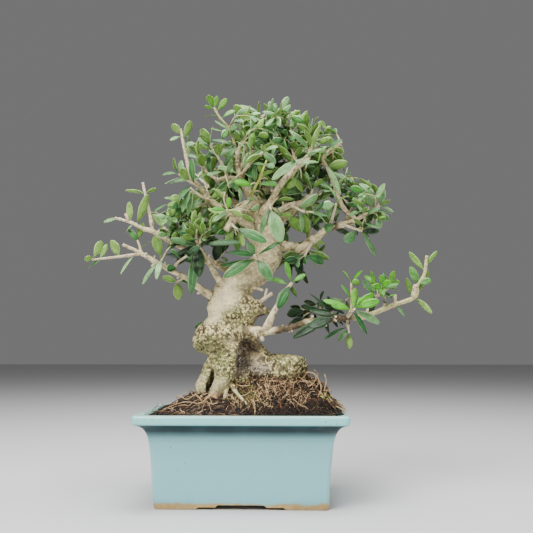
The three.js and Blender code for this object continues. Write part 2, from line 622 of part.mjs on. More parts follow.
// Distance from a point to the nearest limb's surface.
function limbClearance(point, limbs = LIMBS) {
  let least = Infinity;
  limbs.forEach(({ route }) => {
    for (let i = 0; i + 1 < route.length; i += 1) {
      const a = route[i];
      const b = route[i + 1];
      const along = sub(b, a);
      const share = Math.min(Math.max(dot(sub(point, a), along) / dot(along, along), 0), 1);
      const radius = a[3] + (b[3] - a[3]) * share;
      least = Math.min(least, length(sub(point, add(a, along, share))) - radius);
    }
  });
  return least;
}

// Evenly spaced points on a straight-jointed route, each with its share of the way.
function walk(route) {
  const reach = [0];
  for (let i = 1; i < route.length; i += 1) {
    reach.push(reach[i - 1] + length(sub(route[i], route[i - 1])));
  }
  const total = reach.at(-1);
  const at = (distance) => {
    let i = 1;
    while (i < route.length - 1 && reach[i] < distance) {
      i += 1;
    }
    const share = (distance - reach[i - 1]) / (reach[i] - reach[i - 1]);
    return add(route[i - 1], sub(route[i], route[i - 1]), share);
  };
  return { total, at, reach };
}

// Where a spray's own wood starts: the first place that is clear of every limb
// and lies on a straight stretch, so that both cut faces are square to it.
function collarLength(spray) {
  const way = walk(spray.route);
  const joints = way.reach.slice(1, -1);
  const taken = (d) => (
    limbClearance(way.at(d)) < spray.radius + TWIG.clear
    || joints.some((joint) => Math.abs(joint - d) < TWIG.straight));
  let distance = 1;
  while (distance < way.total - 2 && taken(distance)) {
    distance += 0.5;
  }
  return distance;
}

const sprayRadius = (spray, share) => spray.radius * (1 - (1 - TWIG.tip) * share);
const twigSides = (spray) => (spray.radius < TWIG.stout ? 3 : 4);

// Stations of a twig between two distances along its route.
function twigStations(spray, from, to) {
  const way = walk(spray.route);
  const stops = [from, ...way.reach.filter((d) => d > from + 1 && d < to - 1), to];
  return stops.map((distance) => [...way.at(distance), sprayRadius(spray, distance / way.total)]);
}

function limbSolids(grow, names = null) {
  const chosen = LIMBS.filter(({ name }) => !names || names.includes(name));
  return chosen.map(({ route, sides, depth, relief }) => tube(route, sides, { depth, relief, grow }));
}

function buildTrunk(sprays) {
  const collars = sprays.map((spray) => tube(twigStations(spray, 0, spray.collar), twigSides(spray)));
  const cleft = tube(CLEFT, 6);
  return join([...limbSolids(0), ...collars]).subtract(cleft);
}

// ---------------------------------------------------------------------------
// Soil
// ---------------------------------------------------------------------------

function soilHeight(x, y) {
  let height = SOIL_LEVEL;
  SOIL_RISES.forEach(([cx, cy, rise, halfLength, halfDepth]) => {
    const far = ((x - cx) / halfLength) ** 2 + ((y - cy) / halfDepth) ** 2;
    height += rise * Math.exp(-far);
  });
  height += 0.7 * Math.sin(0.31 * x + 0.9) * Math.cos(0.37 * y) + 0.5 * Math.sin(0.83 * x - 0.61 * y);
  return height;
}

// Space inside the pot that the soil fills, a little clear of the walls.
function soilSpace() {
  const walls = POT_INSIDE.slice(1).reverse().map(([z, inset]) => potRing(z, inset + SOIL_GAP, 2));
  walls[0] = walls[0].map(([x, y]) => [x, y, SOIL_BOTTOM]);
  const mouth = POT_INSIDE[1][1] + SOIL_GAP;
  return loft([...walls, potRing(POT.height + SOIL_HEADROOM, mouth, 2)]);
}

// Bed of soil: rings of points run in from the wall to the middle of the pot.
function buildSoil() {
  const edge = potRing(0, POT_INSIDE[1][1] - 2, 2);
  const outline = edge.flatMap((point, i) => {
    const next = edge[(i + 1) % edge.length];
    const pieces = Math.max(1, Math.round(length(sub(next, point)) / SOIL_CELL));
    return Array.from({ length: pieces }, (_, k) => add(point, sub(next, point), k / pieces));
  });
  const ring = (share) => outline.map(([x, y]) => {
    const [px, py] = [x * share, y * share];
    const height = soilHeight(px, py);
    const heaped = (px - SOIL_HEAP.from) / (SOIL_HEAP.to - SOIL_HEAP.from);
    const most = SOIL_EDGE + SOIL_HEAP.height * Math.min(Math.max(heaped, 0), 1);
    return [px, py, share === 1 ? Math.min(height, most) : height];
  });
  const foot = outline.map(([x, y]) => [x, y, 0]);
  const bed = loft([foot, ...SOIL_RINGS.map(ring), [[0, 0, soilHeight(0, 0)]]]);
  return bed.intersect(soilSpace());
}

function buildFibres() {
  const draw = randomStream(FIBRE.seed);
  const fibres = [];
  while (fibres.length < FIBRE.count) {
    const x = (draw() * 2 - 1) * (POT.rimWidth / 2 - 20);
    const y = (draw() * 2 - 1) * (POT.rimDepth / 2 - 18);
    const heading = draw() * 2 * Math.PI;
    const run = FIBRE.least + (FIBRE.most - FIBRE.least) * draw();
    const rise = 1.6 + 2.4 * draw();
    const stations = [0, 0.5, 1].map((share) => {
      const px = x + run * share * Math.cos(heading);
      const py = y + run * share * Math.sin(heading + 0.5 * share);
      return [px, py, soilHeight(px, py) - 1.1 + 4 * rise * share * (1 - share), FIBRE.radius];
    });
    const inPot = stations.every(([px, py]) => (
      Math.abs(px) < POT.rimWidth / 2 - 14 && Math.abs(py) < POT.rimDepth / 2 - 13));
    if (inPot && stations.every((point) => limbClearance(point) > 2.5)) {
      fibres.push(tube(stations, 3));
    }
  }
  return fibres;
}

// ---------------------------------------------------------------------------
// Sprays
// ---------------------------------------------------------------------------

// Blade with a pointed root and tip and two four-cornered sections between. The
// middle rises along its length and drops again towards the tip.
function blade({ root, along, width, up }, extra = 0) {
  const run = length(along) + extra;
  const tangent = unit(along);
  const face = across(up, tangent);
  const side = cross(face, tangent);
  const half = width / 2 + extra;
  const thick = LEAF.thickness / 2 + extra;
  const section = (share, wide, rise) => {
    const middle = add(add(root, tangent, run * share), face, run * rise);
    const lift = LEAF.fold * half * wide;
    return [
      add(add(middle, side, half * wide), face, lift),
      add(middle, face, thick),
      add(add(middle, side, -half * wide), face, lift),
      add(middle, face, -thick),
    ];
  };
  const tip = add(add(root, tangent, run), face, -run * LEAF.droop);
  return loft([[root], section(0.33, 0.88, LEAF.arch), section(0.75, 0.84, LEAF.arch * 0.5), [tip]]);
}

// Leaves of one spray, each with the places to try if the first is taken.
function sprayLeaves(spray, index) {
  const way = walk(spray.route);
  const leaves = spray.leaves.map(([share, x, y, z, width, turn]) => {
    const root = way.at(Math.min(Math.max(way.total * share, spray.collar + 1.5), way.total - 0.4));
    const angle = THREE.MathUtils.degToRad(turn);
    const up = [0, -Math.sin(angle), Math.cos(angle)];
    const shifts = [
      [0, 0, 1], [-3, 0, 1], [3, 0, 1], [-6, 1, 0.95], [6, 1, 0.95], [-9, 3, 0.8], [9, 3, 0.8],
    ];
    return shifts.map(([dy, dz, size]) => (
      { root, along: scale([x, y + dy, z + dz], size), width, up }));
  });
  const draw = randomStream(LEAF.seed + index * 17);
  const along = frames(spray.route);
  const first = spray.collar + 3;
  for (let pair = 0; pair < spray.pairs; pair += 1) {
    const share = spray.pairs > 1 ? pair / (spray.pairs - 1) : 1;
    const distance = first + (way.total - 0.6 - first) * share;
    const found = way.reach.findIndex((d) => d >= distance);
    const segment = Math.min(Math.max(found, 1), way.reach.length - 1);
    const tangent = unit(sub(spray.route[segment], spray.route[segment - 1]));
    const { side } = along[segment];
    const root = way.at(distance);
    const spread = LEAF.spread + (LEAF.tipSpread - LEAF.spread) * share;
    const size = 1.08 - 0.26 * share;
    const turn = draw() * Math.PI * 0.5 + pair * Math.PI * 0.5;
    for (let twin = 0; twin < 2; twin += 1) {
      const jitter = draw() - 0.5;
      const run = LEAF.length * size * (0.86 + 0.3 * draw());
      const width = LEAF.width * size * (0.85 + 0.35 * draw());
      const shifts = [
        [0, 0, 1], [0.55, 0.1, 1], [-0.55, 0.1, 1], [0.9, -0.25, 0.85], [-0.9, 0.25, 0.85],
      ];
      leaves.push(shifts.map(([swing, open, shorter]) => {
        const around = turn + twin * Math.PI + jitter * 0.5 + swing;
        const lean = spread + jitter * 0.3 + open;
        const flank = across(side, tangent);
        const back = cross(tangent, flank);
        const out = add(scale(flank, Math.cos(around)), back, Math.sin(around));
        const heading = add(scale(tangent, Math.cos(lean)), out, Math.sin(lean));
        const up = add(add(scale(tangent, Math.sin(lean)), out, -Math.cos(lean)), [0, -0.25, 0.8]);
        return { root, along: scale(heading, run * shorter), width, up };
      }));
    }
  }
  return leaves;
}

const overlaps = (a, b) => {
  const [boxA, boxB] = [a.box, b.box];
  const apart = [0, 1, 2].some((i) => boxA.max[i] < boxB.min[i] || boxB.max[i] < boxA.min[i]);
  return !apart && a.shape.intersect(b.shape).volume() > 1e-4;
};
const withBox = (shape) => ({ shape, box: shape.boundingBox() });

// Grows every spray. A leaf goes in the first of its places that stays clear of
// the other sprays, and is left out where none does.
function growSprays(sprays, trunk, ground) {
  const twigs = sprays.map((spray) => {
    const way = walk(spray.route);
    return withBox(tube(twigStations(spray, spray.collar + SEAT_GAP, way.total), twigSides(spray)));
  });
  const parts = twigs.map((twig) => [twig]);
  const still = [withBox(trunk), ...ground.map(withBox)];
  const clearOfOthers = (fat, own) => (
    !still.some((other) => overlaps(fat, other))
    && !parts.some((list, k) => k !== own && list.some((other) => overlaps(fat, other))));
  sprays.forEach((spray, own) => {
    sprayLeaves(spray, own).forEach((tries) => {
      const found = tries.find((leaf) => {
        const thin = withBox(blade(leaf));
        const crossing = parts[own].slice(1).some((other) => (
          overlaps(thin, other) && thin.shape.intersect(other.shape).volume() > 1.2));
        return !crossing && clearOfOthers(withBox(blade(leaf, 0.35)), own);
      });
      if (found) {
        parts[own].push(withBox(blade(found)));
      }
    });
  });
  return parts.map((list) => largest(join(list.map(({ shape }) => shape))));
}

// ---------------------------------------------------------------------------
// Assembly
// ---------------------------------------------------------------------------

const sprays = SPRAYS.map(([name, route, radius, pairs, leaves]) => (
  { name, route, radius, pairs, leaves }));
sprays.forEach((spray) => {
  spray.collar = collarLength(spray);
});

const pot = buildPot();
const trunk = largest(buildTrunk(sprays));
const rooted = ['core', 'leg_left', 'leg_front', 'root_middle', 'root_right', 'stump', 'shoulder'];
const soilBed = join([buildSoil(), ...buildFibres()]);
const soil = largest(soilBed.subtract(join(limbSolids(SEAT_GAP + 0.05, rooted))));
const greens = growSprays(sprays, trunk, [soil, pot]);

const group = new THREE.Group();
group.add(finish('pot', pot, LOOKS.glaze));
group.add(finish('soil', soil, LOOKS.soil));
group.add(finish('drain_screen_left', buildScreen(-1), LOOKS.screen));
group.add(finish('drain_screen_right', buildScreen(1), LOOKS.screen));
group.add(finish('trunk', trunk, LOOKS.bark));
greens.forEach((shape, i) => group.add(finish(`spray_${sprays[i].name}`, shape, LOOKS.leaf)));

const bounds = new THREE.Box3().setFromObject(group);
const middle = bounds.getCenter(new THREE.Vector3());
group.position.set(-middle.x, -middle.y, 0);
group.updateMatrixWorld(true);

export default group;
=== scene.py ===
import logging
import math
from dataclasses import dataclass, field
from enum import Enum
from typing import Callable, Iterable, Sequence

import bmesh
import bpy
from mathutils import Matrix, Vector, noise
from mathutils.kdtree import KDTree


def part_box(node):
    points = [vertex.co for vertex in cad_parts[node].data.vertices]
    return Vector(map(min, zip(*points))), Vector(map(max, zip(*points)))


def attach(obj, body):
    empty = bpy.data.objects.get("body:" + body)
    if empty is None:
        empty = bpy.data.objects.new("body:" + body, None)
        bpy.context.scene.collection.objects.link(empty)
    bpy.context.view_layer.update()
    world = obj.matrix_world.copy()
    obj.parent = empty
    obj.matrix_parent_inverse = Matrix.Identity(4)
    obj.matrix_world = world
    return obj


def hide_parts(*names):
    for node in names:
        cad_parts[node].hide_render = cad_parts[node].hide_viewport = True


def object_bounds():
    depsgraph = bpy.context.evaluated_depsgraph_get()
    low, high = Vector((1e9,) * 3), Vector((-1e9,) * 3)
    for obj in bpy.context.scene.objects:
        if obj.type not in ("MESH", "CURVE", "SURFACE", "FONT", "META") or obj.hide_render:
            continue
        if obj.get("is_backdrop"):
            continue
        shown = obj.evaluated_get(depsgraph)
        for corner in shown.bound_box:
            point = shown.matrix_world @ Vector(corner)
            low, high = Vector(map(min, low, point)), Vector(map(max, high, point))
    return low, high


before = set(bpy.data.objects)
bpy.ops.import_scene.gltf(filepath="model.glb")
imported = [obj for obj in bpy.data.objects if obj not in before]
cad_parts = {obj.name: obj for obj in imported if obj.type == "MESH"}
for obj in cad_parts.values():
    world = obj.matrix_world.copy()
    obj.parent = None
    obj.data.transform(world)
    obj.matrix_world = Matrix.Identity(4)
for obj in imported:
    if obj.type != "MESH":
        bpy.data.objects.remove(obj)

LOG = logging.getLogger("olive_bonsai")
MM = 0.001
UP = Vector((0.0, 0.0, 1.0))
Colour = tuple[float, float, float, float]
Place = tuple[float, ...]
Station = tuple[Vector, float]


class Grain(Enum):
    """How a limb of the tree is made and barked."""

    HEAVY = "merged into the body of the trunk"
    BRANCH = "slender, with thin bark"
    ROOT = "pale surface root"


class Hide(Enum):
    """Kinds of surface that a part of the trunk can have, painted shade in its cracks, and shade among
    the leaves.
    """

    SKIN = "smooth pale skin"
    MOSS = "green growth"
    # dark rotten wood, and painted shade in cracks and under limbs
    ROT = "dark rotten wood"
    TAN = "bare tan wood"
    CHALK = "white crust"
    PINK = "pinkish young bark"
    SHADE = "shade among the leaves"


@dataclass(frozen=True)
class Limb:
    """A main limb: its route as x, y, z and radius, in millimetres.

    Args:
        name: plain name of the limb.
        grain: how it is made.
        depth: its front-to-back size as a share of its width.
        route: stations from its root to its end.
    """

    name: str
    grain: Grain
    depth: float
    route: tuple[Place, ...]


@dataclass(frozen=True)
class Stem:
    """A leafy stem: its twig's route, thickness and leaves, in millimetres.

    Args:
        name: plain name, as on the solid model's node.
        route: stations of the twig.
        radius: radius of the twig at its root.
        pairs: pairs of leaves that follow the rule of growth.
        leaves: leaves listed one by one, as share along the twig, x, y, z, width and turn.
    """

    name: str
    route: tuple[Place, ...]
    radius: float
    pairs: int
    leaves: tuple[Place, ...] = ()


@dataclass(frozen=True)
class Patch:
    """An ellipsoid where one kind of surface or shade shows.

    Args:
        kind: the kind of surface.
        centre: middle of the patch, in millimetres.
        radii: half-sizes of the patch along x, y and z.
        strength: how fully the patch covers its middle.
    """

    kind: Hide
    centre: Place
    radii: Place
    strength: float = 1.0

    def weight(self, point: Vector) -> float:
        """Returns how far the point lies inside the patch, from 0 to 1."""
        far = math.sqrt(sum(((p - c) / r) ** 2 for p, c, r in zip(point, self.centre, self.radii)))
        return self.strength * ease(1.3 - far, 0.0, 0.7)


def ease(value: float, low: float, high: float) -> float:
    """Returns a smooth step from 0 at low to 1 at high."""
    share = min(max((value - low) / (high - low), 0.0), 1.0)
    return share * share * (3.0 - 2.0 * share)






class Stream:
    """A seeded stream of numbers from 0 to 1."""

    def __init__(self, seed: int) -> None:
        """Starts the stream.

        Args:
            seed: whole number that fixes the stream.
        """
        self.state = seed & 0xFFFFFFFF

    def draw(self) -> float:
        """Returns the next number."""
        mask = 0xFFFFFFFF
        self.state = (self.state + 0x6D2B79F5) & mask
        t = self.state
        t = ((t ^ (t >> 15)) * (t | 1)) & mask
        t ^= (t + (((t ^ (t >> 7)) * (t | 61)) & mask)) & mask
        return ((t ^ (t >> 14)) & mask) / 4294967296.0

    def between(self, low: float, high: float) -> float:
        """Returns the next number, spread from low to high."""
        return low + (high - low) * self.draw()

    def ball(self) -> Vector:
        """Returns a point drawn evenly inside a ball of radius 1."""
        while True:
            point = Vector((self.between(-1, 1), self.between(-1, 1), self.between(-1, 1)))
            if point.length <= 1.0:
                return point


def across(vector: Vector, tangent: Vector) -> Vector:
    """Returns the part of a vector square to the tangent, with length 1."""
    return (vector - tangent * vector.dot(tangent)).normalized()


def carried_frames(points: Sequence[Vector]) -> list[tuple[Vector, Vector, Vector]]:
    """Carries a section along a route without twist.

    Args:
        points: the route.

    Returns:
        The tangent, side and back of the section at each point.
    """
    last = len(points) - 1
    tangents = [
        (points[min(i + 1, last)] - points[max(i - 1, 0)]).normalized() for i in range(last + 1)
    ]
    start = Vector((1, 0, 0)) if abs(tangents[0].x) < 0.9 else Vector((0, 0, -1))
    side = across(start, tangents[0])
    made = []
    for tangent in tangents:
        side = across(side, tangent)
        made.append((tangent, side, tangent.cross(side)))
    return made


def smooth_route(route: Sequence[Place], step: float) -> list[Station]:
    """Draws an even curve through the stations of a route.

    Args:
        route: stations as x, y, z and radius.
        step: distance between the points of the curve, in millimetres.

    Returns:
        Points of the curve with their radii.
    """
    points = [Vector(p[:3]) for p in route]
    radii = [p[3] for p in route]
    made: list[Station] = []
    for i in range(len(points) - 1):
        a, b = points[i], points[i + 1]
        before = points[i - 1] if i > 0 else a * 2 - b
        after = points[i + 2] if i + 2 < len(points) else b * 2 - a
        pieces = max(1, round((b - a).length / step))
        for k in range(pieces):
            t = k / pieces
            bend = (b - before) * (0.5 * t * (1 - t) ** 2) - (after - a) * (0.5 * t * t * (1 - t))
            place = a.lerp(b, t * t * (3 - 2 * t)) + bend
            made.append((place, radii[i] + (radii[i + 1] - radii[i]) * t))
    made.append((points[-1], radii[-1]))
    return made


class Walk:
    """Measures out distances along a straight-jointed route."""

    def __init__(self, route: Sequence[Place]) -> None:
        """Measures the route.

        Args:
            route: stations of the route.
        """
        self.points = [Vector(p[:3]) for p in route]
        self.reach = [0.0]
        for a, b in zip(self.points, self.points[1:]):
            self.reach.append(self.reach[-1] + (b - a).length)
        self.total = self.reach[-1]

    def segment(self, distance: float) -> int:
        """Returns the index of the station that ends the stretch at this distance."""
        found = next((i for i, d in enumerate(self.reach) if d >= distance), -1)
        return min(max(found, 1), len(self.points) - 1)

    def at(self, distance: float) -> Vector:
        """Returns the point at a distance along the route."""
        i = 1
        while i < len(self.points) - 1 and self.reach[i] < distance:
            i += 1
        share = (distance - self.reach[i - 1]) / (self.reach[i] - self.reach[i - 1])
        return self.points[i - 1] + (self.points[i] - self.points[i - 1]) * share


class Skeleton:
    """Measures how far a point is from the limbs of the tree."""

    def __init__(self, limbs: Iterable[Limb]) -> None:
        """Takes the limbs apart into straight stretches.

        Args:
            limbs: the limbs to measure from.
        """
        self.stretches = [
            (Vector(a[:3]), Vector(b[:3]) - Vector(a[:3]), a[3], b[3] - a[3])
            for limb in limbs
            for a, b in zip(limb.route, limb.route[1:])
        ]

    def clearance(self, point: Vector) -> float:
        """Returns the distance from a point to the nearest limb's surface."""
        least = 1e9
        for start, run, radius, growth in self.stretches:
            share = min(max(run.dot(point - start) / run.length_squared, 0.0), 1.0)
            far = (point - start - run * share).length - radius - growth * share
            least = min(least, far)
        return least


LIMBS: tuple["Limb", ...] = (
    Limb("core", Grain.HEAVY, 0.92, ((-4, 4, 66, 15), (-6, 4, 91, 19), (-9, 4, 110, 18),
         (-13, 3, 124, 19.5), (-15, 1, 134, 22.5), (-16, 0, 145, 25), (-14, 0, 154, 23.5),
         (-12.5, 0, 161, 21.8), (-12, 0, 169, 22.8), (-11.5, 0, 178, 23), (-10, 0, 186, 20),
         (-6, 0, 194, 15.5), (6, 1, 203, 13.5), (17, 2, 213, 13), (22, 3, 225, 13.5),
         (19, 3, 238, 13.5), (14, 2, 249, 12.5), (12, 0, 261, 9.5), (10, 0, 271, 7))),
    Limb("burl_left", Grain.HEAVY, 1, ((-8, -3, 146, 20), (-22, -5, 145, 20.5), (-34, -5, 143, 17),
         (-43, -4, 141, 11), (-48, -4, 140.5, 5))),
    Limb("leg_left", Grain.HEAVY, 1, ((-17, -6, 136, 12), (-26, -9, 122, 8.2), (-34, -11, 107, 7.2),
         (-37, -11, 97, 7.3), (-35, -11, 87, 6.2), (-33, -10, 74, 4))),
    Limb("leg_front", Grain.HEAVY, 1, ((-8, -9, 135, 15), (-14, -15, 117, 11.5),
         (-19, -19, 105, 8.6), (-25, -22, 93, 6.3), (-28, -24, 85, 5), (-29, -25, 73, 3.6))),
    Limb("root_middle", Grain.ROOT, 1, ((-14, -17, 106, 2.6), (-15, -24, 96, 1.7),
         (-17, -28, 87, 1.3), (-18, -29, 78, 1))),
    Limb("root_right", Grain.ROOT, 1, ((-13, -17, 104, 2.6), (-6, -26, 95, 1.5), (3, -33, 86, 1.2),
         (8, -36, 77, 1))),
    Limb("stump", Grain.HEAVY, 1.1, ((-5, 8, 122, 16), (8, 5, 118, 14.5), (22, 1, 116, 13),
         (37, -4, 115.5, 12.8), (47, -8, 115, 12.6), (50.5, -10, 114, 12))),
    Limb("shoulder", Grain.HEAVY, 1, ((-8, 6, 148, 15), (-1, 5, 138, 13.5), (8, 3, 127, 13),
         (19, 1, 117, 12))),
    Limb("burl", Grain.HEAVY, 1, ((-4, -4, 168, 17), (8, -8, 167.5, 13), (15, -10, 167, 8),
         (23.5, -11, 167.5, 3.2))),
    Limb("branch_left_low", Grain.BRANCH, 1, ((-27, -5, 180, 4.2), (-41, -10, 189, 3),
         (-54, -14, 199, 2.5), (-67, -16, 205, 2.3), (-81, -18, 213, 2.2), (-95, -18, 221, 2))),
    Limb("branch_left_shelf", Grain.BRANCH, 1, ((-3, 6, 200, 4.4), (-24, 4, 212, 3),
         (-43, 0, 221, 2.6), (-58, -4, 228, 2.4), (-70, -7, 234, 2.2), (-86, -10, 243, 2.3),
         (-96, -11, 246, 2.1))),
    Limb("branch_left_front", Grain.BRANCH, 1, ((-14, -7, 185, 4.6), (-23, -13, 196, 3),
         (-31, -17, 210, 2.5), (-38, -20, 222, 2.3))),
    Limb("branch_left_high", Grain.BRANCH, 1, ((14, 0, 245, 6), (1, -5, 252, 4.2),
         (-19, -9, 263, 3.3), (-32, -12, 272, 2.9), (-39, -14, 281, 2.7), (-49, -16, 291, 2.4))),
    Limb("branch_cut_front", Grain.BRANCH, 1, ((10, -3, 268, 5), (4, -14, 268, 4),
         (-6, -22, 257, 3.6), (-16, -28, 241, 3.1))),
    Limb("leader", Grain.BRANCH, 1, ((10, 0, 268, 6), (2, -3, 284, 3.8), (-5, -5, 297, 2.8),
         (-8, -5, 313, 2.3))),
    Limb("leader_side", Grain.BRANCH, 1, ((-3, -4, 294, 2.3), (-16, -8, 295, 2),
         (-26, -11, 292, 1.8))),
    Limb("branch_right_high", Grain.BRANCH, 1, ((13, -1, 258, 5.2), (24, -10, 270, 3.5),
         (32, -15, 284, 2.9), (45, -18, 298, 2.6), (60, -18, 311, 2.3))),
    Limb("branch_right_arc", Grain.BRANCH, 1, ((16, -2, 252, 5), (31, -9, 261, 3),
         (43, -10, 268, 2.5), (57, -7, 271, 2.2))),
    Limb("branch_right", Grain.BRANCH, 1, ((19, 3, 232, 9), (39, 6, 231, 5.4), (52, 8, 229, 4.6),
         (66, 8, 238.5, 3.7), (80, 8, 248.5, 3.2), (93, 6, 252, 2.9), (106, 4, 256, 2.5))),
    Limb("branch_right_low", Grain.BRANCH, 1, ((-8, -5, 151, 10), (6, -12, 149.5, 5.5),
         (22, -16, 149.5, 3.5), (39, -17, 152, 2.9), (56, -15, 157, 3.2), (74, -13, 160, 3.1),
         (94, -12, 162, 2.9), (111, -12, 163, 2.7))),
    Limb("branch_right_knob", Grain.BRANCH, 1, ((20, -16, 151, 4.2), (28, -18, 168, 2.6),
         (37, -20, 182, 2.3))),
    Limb("branch_back_high", Grain.BRANCH, 1, ((11, 1, 260, 6.5), (15, 20, 282, 4.8),
         (21, 36, 300, 3.2))),
    Limb("branch_back_left", Grain.BRANCH, 1, ((13, 2, 251, 6), (-7, 24, 273, 4.4),
         (-24, 38, 290, 3))),
    Limb("branch_back_right", Grain.BRANCH, 1, ((19, 5, 240, 6), (33, 26, 259, 4.4),
         (49, 44, 276, 3))),
    Limb("branch_back_low", Grain.BRANCH, 1, ((19, 5, 222, 6.5), (9, 30, 238, 4.2),
         (-4, 50, 253, 3))),
)

